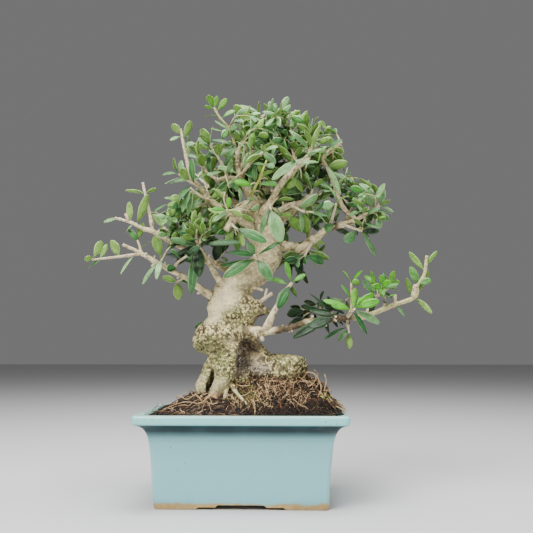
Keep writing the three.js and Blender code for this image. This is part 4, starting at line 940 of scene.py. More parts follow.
class Weaver:
    """Builds one piece, in millimetres about the middle of the pot."""

    def __init__(self) -> None:
        """Starts an empty mesh with the layers that the finishes read."""
        self.bm = bmesh.new()
        self.tone = self.bm.verts.layers.float_color.new("tone")
        self.blade = self.bm.loops.layers.uv.new("blade")

    def sweep(
        self, stations: Sequence[Station], sides: int, tone: Callable[[float], Colour],
        material: int = 0, depth: float = 1.0, wobble: float = 0.0,
    ) -> list[bmesh.types.BMVert]:
        """Draws a round bar along a curve.

        Args:
            stations: points of the curve with their radii.
            sides: number of sides of the bar.
            tone: colour layer's value by share of the way along.
            material: number of the material.
            depth: front-to-back size as a share of the width.
            wobble: unevenness of the surface, as a share of the radius.

        Returns:
            The bar's vertices.
        """
        along = carried_frames([point for point, _ in stations])
        made = bmesh.ops.create_circle(self.bm, cap_ends=True, segments=sides, radius=1.0)
        ring = made["verts"]
        edges = list({edge for vert in ring for edge in vert.link_edges})
        everything = list(ring)
        now = Matrix.Identity(4)
        last = len(stations) - 1
        for i, (point, radius) in enumerate(stations):
            tangent, side, back = along[i]
            goal = Matrix((side * radius, back * radius * depth, tangent * radius)).transposed()
            goal = Matrix.Translation(point) @ goal.to_4x4()
            if i > 0:
                grown = bmesh.ops.extrude_edge_only(self.bm, edges=edges)["geom"]
                ring = [item for item in grown if isinstance(item, bmesh.types.BMVert)]
                fresh = set(ring)
                edges = [
                    item for item in grown
                    if isinstance(item, bmesh.types.BMEdge) and set(item.verts) <= fresh
                ]
                everything += ring
            bmesh.ops.transform(self.bm, matrix=goal @ now.inverted(), verts=ring)
            now = goal
            for vert in ring:
                vert[self.tone] = tone(i / last)
        bmesh.ops.edgeloop_fill(self.bm, edges=edges)
        faces = list({face for vert in everything for face in vert.link_faces})
        bmesh.ops.recalc_face_normals(self.bm, faces=faces)
        for face in faces:
            face.material_index = material
        if wobble:
            index = 0
            for i, (point, radius) in enumerate(stations):
                knot = 1.5 * max(noise.noise(point / 5.2 + UP * 4) - 0.05, 0) - 0.12
                for vert in everything[index:index + sides]:
                    swell = noise.noise(vert.co / 3.4) + 0.5 * noise.noise(vert.co / 1.3) + knot
                    vert.co = point + (vert.co - point) * (1 + wobble * swell)
                index += sides
        return everything

    def stamp(
        self, template: bpy.types.Mesh, place: Callable[[Vector], Vector], tone: Colour,
    ) -> None:
        """Adds a copy of a template.

        Args:
            template: the mesh to copy.
            place: gives each vertex its place.
            tone: value of the colour layer.
        """
        first = len(self.bm.verts)
        self.bm.from_mesh(template)
        self.bm.verts.ensure_lookup_table()
        for vert in self.bm.verts[first:]:
            vert.co = place(vert.co)
            vert[self.tone] = tone

    def mesh(self, name: str) -> bpy.types.Mesh:
        """Returns the work so far as a mesh, still in millimetres."""
        made = bpy.data.meshes.new(name)
        self.bm.to_mesh(made)
        self.bm.free()
        return made


@dataclass(frozen=True)
class Bench:
    """Turns meshes into pieces of the object in its frame.

    Args:
        shift: place of the middle of the pot, in metres.
    """

    shift: Vector

    def piece(
        self, name: str, mesh: bpy.types.Mesh, finishes: Sequence[bpy.types.Material],
        replaced: Sequence[str] = (),
    ) -> bpy.types.Object:
        """Makes a piece that rides on the root body.

        Args:
            name: name of the piece.
            mesh: its mesh, in millimetres about the middle of the pot.
            finishes: its materials.
            replaced: solid nodes that it stands for.

        Returns:
            The piece.
        """
        mesh.transform(Matrix.Translation(self.shift) @ Matrix.Scale(MM, 4))
        mesh.polygons.foreach_set("use_smooth", [True] * len(mesh.polygons))
        for finish in finishes:
            mesh.materials.append(finish)
        mesh.name = name
        made = bpy.data.objects.new(name, mesh)
        bpy.context.scene.collection.objects.link(made)
        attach(made, "root")
        if replaced:
            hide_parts(*replaced)
        LOG.info("%s: %d faces", name, len(mesh.polygons))
        return made


def with_modifier(mesh: bpy.types.Mesh, kind: str, **settings: object) -> bpy.types.Mesh:
    """Returns a mesh with one modifier applied.

    Args:
        mesh: the mesh to change.
        kind: type of the modifier.
        settings: its settings.

    Returns:
        The changed mesh.
    """
    holder = bpy.data.objects.new("holder", mesh)
    bpy.context.scene.collection.objects.link(holder)
    modifier = holder.modifiers.new(kind, kind)
    for key, value in settings.items():
        setattr(modifier, key, value)
    bpy.context.view_layer.update()
    shaped = holder.evaluated_get(bpy.context.evaluated_depsgraph_get())
    made = bpy.data.meshes.new_from_object(shaped)
    bpy.data.objects.remove(holder)
    return made


def loft(bm: bmesh.types.BMesh, rings: Sequence[Sequence[Vector]]) -> list[bmesh.types.BMVert]:
    """Skins a stack of rings with the same number of points, and closes both ends.

    Args:
        bm: the mesh to add to.
        rings: the rings, from one end to the other.

    Returns:
        The vertices, ring by ring.
    """
    made = bmesh.ops.create_circle(bm, cap_ends=True, segments=len(rings[0]), radius=1.0)
    ring = made["verts"]
    everything = list(ring)
    for vert, point in zip(ring, rings[0]):
        vert.co = point
    for points in rings[1:]:
        edges = [bm.edges.get((a, b)) for a, b in zip(ring, ring[1:] + ring[:1])]
        grown = bmesh.ops.extrude_edge_only(bm, edges=edges)["geom"]
        fresh = {item for item in grown if isinstance(item, bmesh.types.BMVert)}
        following = []
        for vert in ring:
            following.append(next(e.other_vert(vert) for e in vert.link_edges
                                  if e.other_vert(vert) in fresh))
        ring = following
        for vert, point in zip(ring, points):
            vert.co = point
        everything += ring
    edges = [bm.edges.get((a, b)) for a, b in zip(ring, ring[1:] + ring[:1])]
    bmesh.ops.edgeloop_fill(bm, edges=edges)
    bmesh.ops.recalc_face_normals(bm, faces=list(bm.faces))
    return everything


# --------------------------------------------------------------------------
# Pot
# --------------------------------------------------------------------------


@dataclass
class Pot:
    """Glazed rectangular pot on a foot ring with stepped cut-outs.

    Args:
        width: outside width of the rim, in millimetres.
        depth: outside depth of the rim.
        corner: corner radius of the rim.
        outside: height and inset of the outside profile, from the foot up.
        inside: height and inset of the inside profile, from the rim down.
        front_steps: half-width and height of each step in the long sides.
        side_steps: the same in the short sides.
    """

    width: float = 183.0
    depth: float = 135.0
    corner: float = 6.0
    outside: tuple[Place, ...] = (
        (0.0, 18.1), (0.6, 17.7), (10, 16.9), (25, 15.8), (39.5, 14.7), (48, 13.9), (54, 13.1),
        (58.5, 12.2), (62, 11.1), (64.8, 9.7), (66.8, 8.2), (68.3, 6.2), (69.4, 4.0), (70.0, 2.0),
        (70.5, 0.9), (71.3, 0.2), (72.4, 0), (75.8, 0), (77.0, 0.3), (77.7, 0.9), (78.1, 1.8),
        (78.2, 2.8),
    )
    inside: tuple[Place, ...] = (
        (78.2, 5.6), (78.1, 6.7), (77.8, 7.6), (77.2, 8.3), (74, 9.8), (66, 13.6), (52, 17.8),
        (10, 21.4),
    )
    front_steps: tuple[Place, ...] = ((36, 1.7), (19.5, 3.6))
    side_steps: tuple[Place, ...] = ((24, 1.7), (13, 3.6))
    drain_radius: float = 7.0
    drain_spacing: float = 76.0

    def ring(self, height: float, inset: float, loss: float = 0.0) -> list[Vector]:
        """Returns the rounded outline at one height.

        Args:
            height: height above the ground.
            inset: how far it lies inside the rim's outer face.
            loss: how much tighter its corners are.
        """
        half_width, half_depth = self.width / 2 - inset, self.depth / 2 - inset
        radius = max(self.corner - inset * 0.12 - loss, 3.5)
        points = []
        for corner, (sx, sy) in enumerate(((1, 1), (-1, 1), (-1, -1), (1, -1))):
            for i in range(9):
                angle = (corner + i / 8) * math.pi / 2
                points.append(Vector((
                    sx * (half_width - radius) + radius * math.cos(angle),
                    sy * (half_depth - radius) + radius * math.sin(angle), height)))
        return self.with_sides(points)

    @staticmethod
    def with_sides(points: list[Vector]) -> list[Vector]:
        """Returns the outline with its straight sides divided."""
        made = []
        for a, b in zip(points, points[1:] + points[:1]):
            pieces = 8 if (b - a).length > 20 else 1
            made += [a.lerp(b, k / pieces) for k in range(pieces)]
        return made

    def bar(self, half: float, height: float, reach: float, along_x: bool) -> list[list[Vector]]:
        """Returns the two end rings of a bar that cuts a step in the foot."""
        section = ((-half - height, -3), (half + height, -3), (half + height, 0), (half, height),
                   (-half, height), (-half - height, 0))
        ends = []
        for t in (reach, -reach):
            ends.append([Vector((a, t, z)) if along_x else Vector((-t, a, z)) for a, z in section])
        return ends

    def cutters(self) -> bpy.types.Mesh:
        """Returns the foot recess, the steps and the drain holes as one cutting mesh."""
        bm = bmesh.new()
        for half, height in self.front_steps:
            loft(bm, self.bar(half, height, self.depth, True))
        for half, height in self.side_steps:
            loft(bm, self.bar(half, height, self.width, False))
        loft(bm, [self.ring(-3, 24.7, 2), self.ring(5.5, 25.3, 2)])
        for side in (-1, 1):
            turn = [2 * math.pi * i / 28 for i in range(28)]
            middle = side * self.drain_spacing / 2
            loft(bm, [
                [Vector((middle + self.drain_radius * math.cos(a),
                         self.drain_radius * math.sin(a), z)) for a in turn] for z in (1, 16)])
        made = bpy.data.meshes.new("cutters")
        bm.to_mesh(made)
        bm.free()
        return made

    def build(self, bench: Bench) -> bpy.types.Object:
        """Builds the pot.

        Args:
            bench: where the piece is finished.

        Returns:
            The piece.
        """
        bm = bmesh.new()
        rings = [self.ring(z, inset) for z, inset in self.outside]
        rings += [self.ring(z, inset, 2) for z, inset in self.inside]
        loft(bm, rings)
        for vert in bm.verts:
            sway = Vector((noise.noise(vert.co / 40), noise.noise(vert.co / 40 + UP * 9), 0))
            vert.co += sway * 0.35 * ease(vert.co.z, 2, 20)
        body = bpy.data.meshes.new("pot_body")
        bm.to_mesh(body)
        bm.free()
        tool = bpy.data.objects.new("cutter", self.cutters())
        bpy.context.scene.collection.objects.link(tool)
        mesh = with_modifier(body, "BOOLEAN", operation="DIFFERENCE", solver="EXACT",
                             use_self=True, object=tool)
        bpy.data.objects.remove(tool)
        self.paint(mesh)
        pot = bench.piece("glazed_pot", mesh, [GlazeFinish().material()], ["pot"])
        mesh.set_sharp_from_angle(angle=math.radians(42))
        return pot

    def paint(self, mesh: bpy.types.Mesh) -> None:
        """Marks where the glaze is worn thin, the band of painted shade under the rim, and where lime has
        dried.
        """
        layer = mesh.color_attributes.new("glaze", "FLOAT_COLOR", "POINT")
        for vert, mark in zip(mesh.vertices, layer.data):
            x, y, z = vert.co
            out_x, out_y = abs(x) - self.width / 2, abs(y) - self.depth / 2
            corner = ease(min(out_x, out_y), -19.5, -15.5) * ease(-z, -60, -20)
            lip = ease(z, 77.5, 78.15) * ease(max(out_x, out_y), -7.5, -6.5)
            # band under the rim that takes the painted shade
            rim_shade_share = ease(z, 56, 65) * ease(-z, -70.9, -70.1)
            lime = ease(z, 71, 76) * ease(-x, 60, 89) + 0.35 * ease(z, 76, 78)
            mark.color = (min(corner * 0.5 + lip * 0.6, 1), rim_shade_share, min(lime, 1), 1)


@dataclass
class DrainScreens:
    """Two squares of plastic mesh over the drain holes, under the soil."""

    nodes: tuple[str, ...] = ("drain_screen_left", "drain_screen_right")

    def dress(self) -> None:
        """Gives both screens their plastic."""
        finish = ScreenFinish().material()
        for name in self.nodes:
            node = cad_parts[name]
            node.data.materials.clear()
            node.data.materials.append(finish)
            LOG.info("%s: dressed", name)




# --------------------------------------------------------------------------
# Soil
# --------------------------------------------------------------------------


FIBRE_STEPS = 6
LITTER_BATCH = 60


@dataclass
class SoilBed:
    """Root ball in the pot, with crumbs, root fibres and a seedling on it.

    Args:
        level: height of the bed away from the tree.
        rises: x, y, height, half-length and half-depth of each mound.
        half_width: half-width of the bed at its top.
        half_depth: half-depth of the bed at its top.
        fibres: number of root fibres.
        crumbs: number of loose crumbs.
        hanging: how many of the fibres hang over the right rim.
        seedling: where the seedling stands.
        roots: stations of the roots that stand out, as x, y, z and radius.
    """

    level: float = 74.2
    rises: tuple[Place, ...] = (
        (-30, -8, 15, 34, 32), (43, 3, 27, 36, 32), (8, 2, 20, 44, 34), (71, -8, 9, 14, 34),
        (-56, -10, 4, 18, 34))
    half_width: float = 82.1
    half_depth: float = 58.1
    fibres: int = 3000
    crumbs: int = 640
    hanging: int = 240
    seedling: Place = (72.7, -40.0, 90.0)
    roots: tuple[tuple[tuple[float, float, float, float], ...], ...] = (
        ((8, -42, 90, 0.75), (11, -50, 88.5, 0.7), (12, -54, 82.5, 0.6), (11.8, -55.5, 78.6, 0.5)),
        ((46, -8, 107, 0.7), (43.5, -17, 101.5, 0.7), (39, -26.5, 94.5, 0.6), (34.5, -34.5, 86, 0.5)),
        ((54, -10, 107, 0.8), (57.7, -14, 112.3, 0.8), (64, -15, 111, 0.7), (68.5, -16, 104, 0.7),
         (69.5, -19, 96.5, 0.6), (65.5, -27, 90, 0.5)),
        ((73.5, -9, 110.5, 0.6), (74.6, -12, 104, 0.65), (72.3, -16, 96, 0.6), (70, -24, 90.5, 0.5)),
        ((64, -8, 115, 0.45), (67.3, -9, 109.5, 0.5), (63, -14, 103, 0.5)),
        ((-60, -22, 90, 0.6), (-57.4, -23, 92, 0.7), (-50, -26, 89, 0.7), (-42.5, -23, 92.5, 0.7),
         (-36, -30, 88, 0.6)),
        ((-35, -33, 87, 0.9), (-30.5, -31, 91, 1.0), (-28, -27, 92, 1.1), (-22, -24, 93, 0.9)),
        ((-9, -9, 107, 1.0), (-6.8, -15, 103, 1.1), (-6, -20, 98, 1.0), (-4.8, -26, 93, 0.8)),
        ((66, -18, 97, 0.6), (73, -25, 91, 0.7), (80.5, -33, 82, 0.5)),
        ((8, -13, 105.5, 0.7), (26, -17, 105, 0.8), (41, -18, 103.5, 0.7), (58, -15, 105, 0.6)),
        ((-69, -28, 80.5, 0.5), (-60, -30, 84.5, 0.6), (-50, -30, 87, 0.6), (-38, -36, 86, 0.5)),
        ((-11, -14, 102, 0.8), (-2, -20, 100.5, 0.8), (6, -20, 101, 0.6)),
        ((84, -2, 86, 0.5), (88, -8, 86.5, 0.6), (90, -16, 81, 0.5)))

    def base(self, x: float, y: float) -> float:
        """Returns the even height of the bed at a place."""
        height = self.level
        for cx, cy, rise, half_length, half_depth in self.rises:
            height += rise * math.exp(-((x - cx) / half_length) ** 2 - ((y - cy) / half_depth) ** 2)
        height += 0.7 * math.sin(0.31 * x + 0.9) * math.cos(0.37 * y)
        height += 0.5 * math.sin(0.83 * x - 0.61 * y)
        edge = max(abs(x) / self.half_width, abs(y) / self.half_depth)
        lip = ease(edge, 0.94, 1.0)
        most = 76 + 8 * min(max((x - 45) / 25, 0), 1)
        return height + (min(height, most) - height) * lip

    def top(self, x: float, y: float) -> float:
        """Returns the height of the crumbly surface at a place."""
        point = Vector((x, y, 0))
        lumps = noise.fractal(point / 5.5, 0.9, 2.1, 4) * 1.5
        grains = 0.6 - noise.voronoi(point / 2.4)[0][0]
        return self.base(x, y) + lumps + grains * 0.9 - 0.4

    def bed(self) -> bpy.types.Mesh:
        """Returns the bed as a closed mesh."""
        bm = bmesh.new()
        bmesh.ops.create_grid(bm, x_segments=150, y_segments=110, size=1.0)
        for vert in bm.verts:
            x, y = vert.co.x * self.half_width, vert.co.y * self.half_depth
            over = Vector((max(abs(x) - self.half_width + 7, 0), max(abs(y) - self.half_depth + 7, 0)))
            if over.length > 7:
                pull = 7 / over.length
                x -= math.copysign(over.x * (1 - pull), x)
                y -= math.copysign(over.y * (1 - pull), y)
            vert.co = Vector((x, y, self.top(x, y)))
        for height, share in ((66.0, 0.92), (45.0, 0.915)):
            rim = [edge for edge in bm.edges if edge.is_boundary]
            grown = bmesh.ops.extrude_edge_only(bm, edges=rim)["geom"]
            for item in grown:
                if isinstance(item, bmesh.types.BMVert):
                    item.co = Vector((item.co.x * share, item.co.y * share, height))
        bmesh.ops.holes_fill(bm, edges=[edge for edge in bm.edges if edge.is_boundary])
        bmesh.ops.recalc_face_normals(bm, faces=list(bm.faces))
        made = bpy.data.meshes.new("bed")
        bm.to_mesh(made)
        bm.free()
        return made

    @staticmethod
    def tube_template() -> bpy.types.Mesh:
        """Returns a thin three-sided bar along z, from 0 to 1, to bend into fibres."""
        work = Weaver()
        stations = [
            (Vector((0, 0, i / FIBRE_STEPS)), 1.0 - 0.45 * abs(i - 2) / 4)
            for i in range(FIBRE_STEPS + 1)]
        work.sweep(stations, 3, lambda share: (0, 0, 0, 1))
        return work.mesh("fibre_template")

    @staticmethod
    def crumb_template() -> bpy.types.Mesh:
        """Returns a rough crumb of radius 1."""
        work = Weaver()
        made = bmesh.ops.create_icosphere(work.bm, subdivisions=1, radius=1.0)["verts"]
        for vert in made:
            vert.co *= 1 + 0.35 * noise.noise(vert.co * 2.3)
        return work.mesh("crumb_template")

    def strand(self, stream: Stream) -> tuple[list[Vector], float, float]:
        """Draws one fibre's path over the bed.

        Args:
            stream: the stream of random numbers.

        Returns:
            Its points, thickness and tone.
        """
        spread = stream.draw()
        if spread < 0.60:
            x = 34 + 50 * (stream.draw() + stream.draw() - 1)
            y = -16 + 46 * (stream.draw() + stream.draw() - 1)
        else:
            x = stream.between(-1, 1) * (self.half_width - 3)
            y = stream.between(-1, 1) * (self.half_depth - 3)
        heading = stream.between(0, 2 * math.pi)
        run = stream.between(5, 26) * (0.7 + 0.6 * stream.draw())
        curl = stream.between(-0.55, 0.55)
        lift = stream.between(0.0, 2.6) ** 1.3 * (1.5 if x > 5 else 0.8)
        stray = stream.between(2, 8) if stream.draw() < 0.10 else 0.0
        points = []
        for i in range(FIBRE_STEPS + 1):
            share = i / FIBRE_STEPS
            turn = heading + curl * share + 0.18 * math.sin(6 * share + 9 * spread)
            px, py = x + run * share * math.cos(turn), y + run * share * math.sin(turn)
            px = min(max(px, -self.half_width + 2), self.half_width - 1)
            py = min(max(py, -self.half_depth + 2), self.half_depth - 2)
            rise = lift * 4 * share * (1 - share) + 0.7 * math.sin(7 * share + 20 * spread)
            rise += stray * share ** 1.6
            points.append(Vector((px, py, self.base(px, py) + rise - 0.2)))
        wet = 0.54 + 0.7 * noise.noise(Vector((x, y, 7)) / 13)
        dry = ease(self.base(x, y), 76, 92)
        tone = wet * (0.36 + 0.60 * dry) + stream.between(-0.68, 0.64)
        bare = ease(-y, 30, 46) * ease(-abs(x - 30), -42, -24)
        tone = min(max(tone - 0.50 * bare, 0), 1)
        return points, stream.between(0.14, 0.36) * (1.6 if spread > 0.93 else 1), tone

    def overhang(self, stream: Stream) -> list[Vector]:
        """Draws one fibre that hangs over the right rim of the pot.

        Args:
            stream: the stream of random numbers.
        """
        x, y = stream.between(70, 84), stream.between(-57, 36)
        rise, run = stream.between(0, 7), stream.between(3, 12)
        heading = stream.between(-1.3, 1.3)
        points = []
        for i in range(FIBRE_STEPS + 1):
            share = i / FIBRE_STEPS
            px = min(x + run * share * math.cos(heading), 90.0)
            py = y + run * share * math.sin(heading + 0.4 * share)
            heap = 78.9 + max(89 - px, 0) * 0.75
            points.append(Vector((px, py, heap + rise * math.sin(2.6 * share) * (1 - 0.5 * share))))
        return points

    def sprout(self, work: Weaver, crumb: bpy.types.Mesh) -> None:
        """Adds a seedling with two pairs of small leaves.

        Args:
            work: the mesh to add to.
            crumb: template of its leaves.
        """
        for dx, dz, length, turn in ((-2.6, 2.0, 3.2, 0.5), (2.8, 2.5, 3.5, -0.4), (-0.6, 4.2, 2.4, 1.3),
                                     (1.8, 0.2, 2.4, 0.1)):
            spin = Matrix.Rotation(turn, 3, "Y") @ Matrix.Diagonal((length, 1.7, 0.7))
            place = Vector(self.seedling) + Vector((dx, -0.4 * dz, dz))
            work.stamp(crumb, lambda co: place + spin @ co, (0.6, 0.9, 0, 1))

    @staticmethod
    def bend(points: Sequence[Vector], radius: float) -> Callable[[Vector], Vector]:
        """Returns the map that bends a straight bar along points."""
        along = carried_frames(points)

        def place(co: Vector) -> Vector:
            """Returns where a point of the bar goes."""
            i = min(round(co.z * FIBRE_STEPS), FIBRE_STEPS)
            _, side, back = along[i]
            return points[i] + (side * co.x + back * co.y) * radius

        return place

    def litter(self) -> bpy.types.Mesh:
        """Returns all fibres and crumbs as one mesh."""
        stream = Stream(7193)
        fibre, crumb = self.tube_template(), self.crumb_template()
        whole = Weaver()
        work = Weaver()
        for index in range(self.fibres + self.crumbs):
            if index < self.fibres:
                points, radius, tone = self.strand(stream)
                if index < self.hanging:
                    points = self.overhang(stream)
                mossy = ease(-(points[0] - Vector((6, -31, 91))).length, -12, -4) * 0.35
                work.stamp(fibre, self.bend(points, radius), (tone, mossy, 0, 1))
            else:
                x = stream.between(-1, 1) * (self.half_width - 3)
                y = stream.between(-1, 1) * (self.half_depth - 3)
                size = stream.between(0.6, 1.7)
                place = Vector((x, y, self.top(x, y) + size * 0.2))
                if index % 5 == 0:
                    place = Vector((stream.between(80, 86.5), y, 78.4 + size * 0.4))
                turn = stream.ball().normalized().to_track_quat("Z", "Y").to_matrix() * size
                work.stamp(crumb, lambda co: place + turn @ co, (0.3 * stream.draw() ** 2, 0, 0, 1))
            if (index + 1) % LITTER_BATCH == 0 or index == self.fibres + self.crumbs - 1:
                chunk = work.mesh("litter_chunk")
                whole.bm.from_mesh(chunk)
                bpy.data.meshes.remove(chunk)
                work = Weaver()
        self.sprout(work, crumb)
        for route in self.roots:
            thin = [(x, y, z, radius * 0.8) for x, y, z, radius in route]
            work.sweep(smooth_route(thin, 1.6), 6, lambda share: (0.78, 0.05, 0, 1), wobble=0.45)
        whole.bm.from_mesh(work.mesh("litter_last"))
        return whole.mesh("litter")

    def build(self, bench: Bench) -> None:
        """Builds the bed and what lies on it.

        Args:
            bench: where the pieces are finished.
        """
        bench.piece("soil_bed", self.bed(), [SoilFinish().material()], ["soil"])
        bench.piece("root_fibres", self.litter(), [FibreFinish().material()])


# --------------------------------------------------------------------------
# Trunk
# --------------------------------------------------------------------------

PATCHES: tuple[Patch, ...] = (
    Patch(Hide.SKIN, (-20, -16, 180), (17, 18, 14)),
    Patch(Hide.SKIN, (-28, -12, 168), (10, 16, 13)),
    Patch(Hide.SKIN, (-18, -8, 193), (12, 20, 9), 0.8),
    Patch(Hide.SKIN, (-36, -11, 100), (9, 12, 14), 0.55),
    Patch(Hide.SKIN, (-21, -24, 98), (9, 10, 13), 0.6),
    Patch(Hide.MOSS, (-30, -14, 134), (19, 20, 13)),
    Patch(Hide.MOSS, (-18, -20, 126), (13, 12, 13), 0.9),
    Patch(Hide.MOSS, (-34, -12, 104), (9, 12, 22), 0.7),
    Patch(Hide.MOSS, (-20, -24, 103), (9, 10, 18), 0.6),
    Patch(Hide.MOSS, (2, -18, 163), (24, 12, 12), 0.5),
    Patch(Hide.MOSS, (40, -12, 124), (18, 14, 8), 0.4),
    Patch(Hide.ROT, (0.5, -20, 125), (7.5, 14, 18), 0.9),
    # painted shade in a sunk band under the burl and the low branch
    Patch(Hide.ROT, (12, -14, 138), (17, 14, 7.0), 0.95),
    # painted shade in the dark notch between the burl and the knob branch
    Patch(Hide.ROT, (18, -11, 159.5), (8, 12, 6.5), 0.9),
    # painted shade in the crack between the two legs
    Patch(Hide.ROT, (-28, -14, 104), (2.6, 9, 13), 0.9),
    # painted shade in a sunk band under the burl, on its left
    Patch(Hide.ROT, (-13, -24, 140.5), (11, 9, 2.6), 0.45),
    Patch(Hide.ROT, (17, -18, 172), (3.5, 6, 9), 0.6),
    Patch(Hide.ROT, (0, -24, 109), (9, 8, 4.5), 0.7),
    # bare tan wood in a sunk recess, dark as painted shade under the low branch
    Patch(Hide.TAN, (9, -12, 132), (8, 10, 8)),
    Patch(Hide.TAN, (12, -8, 160), (7, 12, 9), 0.7),
    Patch(Hide.CHALK, (8, -18, 116), (17, 11, 11)),
    Patch(Hide.ROT, (-30, -17, 134), (16, 12, 4.5), 0.36),
    # painted shade in the crack between the two legs, lower down
    Patch(Hide.ROT, (-31.5, -15, 92), (2.4, 8, 14), 0.9),
    Patch(Hide.TAN, (3, -18, 121), (10, 9, 9), 0.55),
    Patch(Hide.CHALK, (-1, -22, 127), (5, 12, 14), 0.5),
    Patch(Hide.MOSS, (-24, -24, 93), (10, 10, 9), 0.9),
    Patch(Hide.ROT, (-20, -27, 95), (3, 7, 8), 0.35),
    Patch(Hide.PINK, (-25, -28, 90), (8, 10, 6), 0.9),
)

STUBS: tuple[tuple[Place, Place, float], ...] = (
    ((-95.3, -17.6, 221.7), (-112.7, -17.6, 229.6), 1.4),
    ((-109.3, -12.1, 252.4), (-112.4, -12.1, 259.8), 1.6),
    ((155.1, -12, 180.3), (157.9, -12, 191.8), 2.3),
    ((137.9, -12, 173.7), (138.5, -13, 182.7), 1.6),
    ((86, -5.7, 325), (91.5, -8, 330), 2.0),
    ((9, -8, 203), (8, -20, 207), 2.2),
    ((-17.2, -8.6, 262), (-22.5, -10, 268), 1.9),
    ((53.2, -7.8, 270.2), (60, -12, 276), 1.5),
    ((16, -14, 146), (17, -18.5, 141.5), 1.8),
    ((-38, -14, 302), (-42, -16, 309), 1.6),
    ((14, -14, 176), (26, -17, 184), 1.7),
    ((19, -15, 178), (21, -17, 188), 1.2),
    ((8, -12, 190), (17, -16, 187), 1.3),
)

# noise_vector takes its offsets from the clock unless a seed is set, and a seed of 0 means the clock too.
BARK_SEED = 7


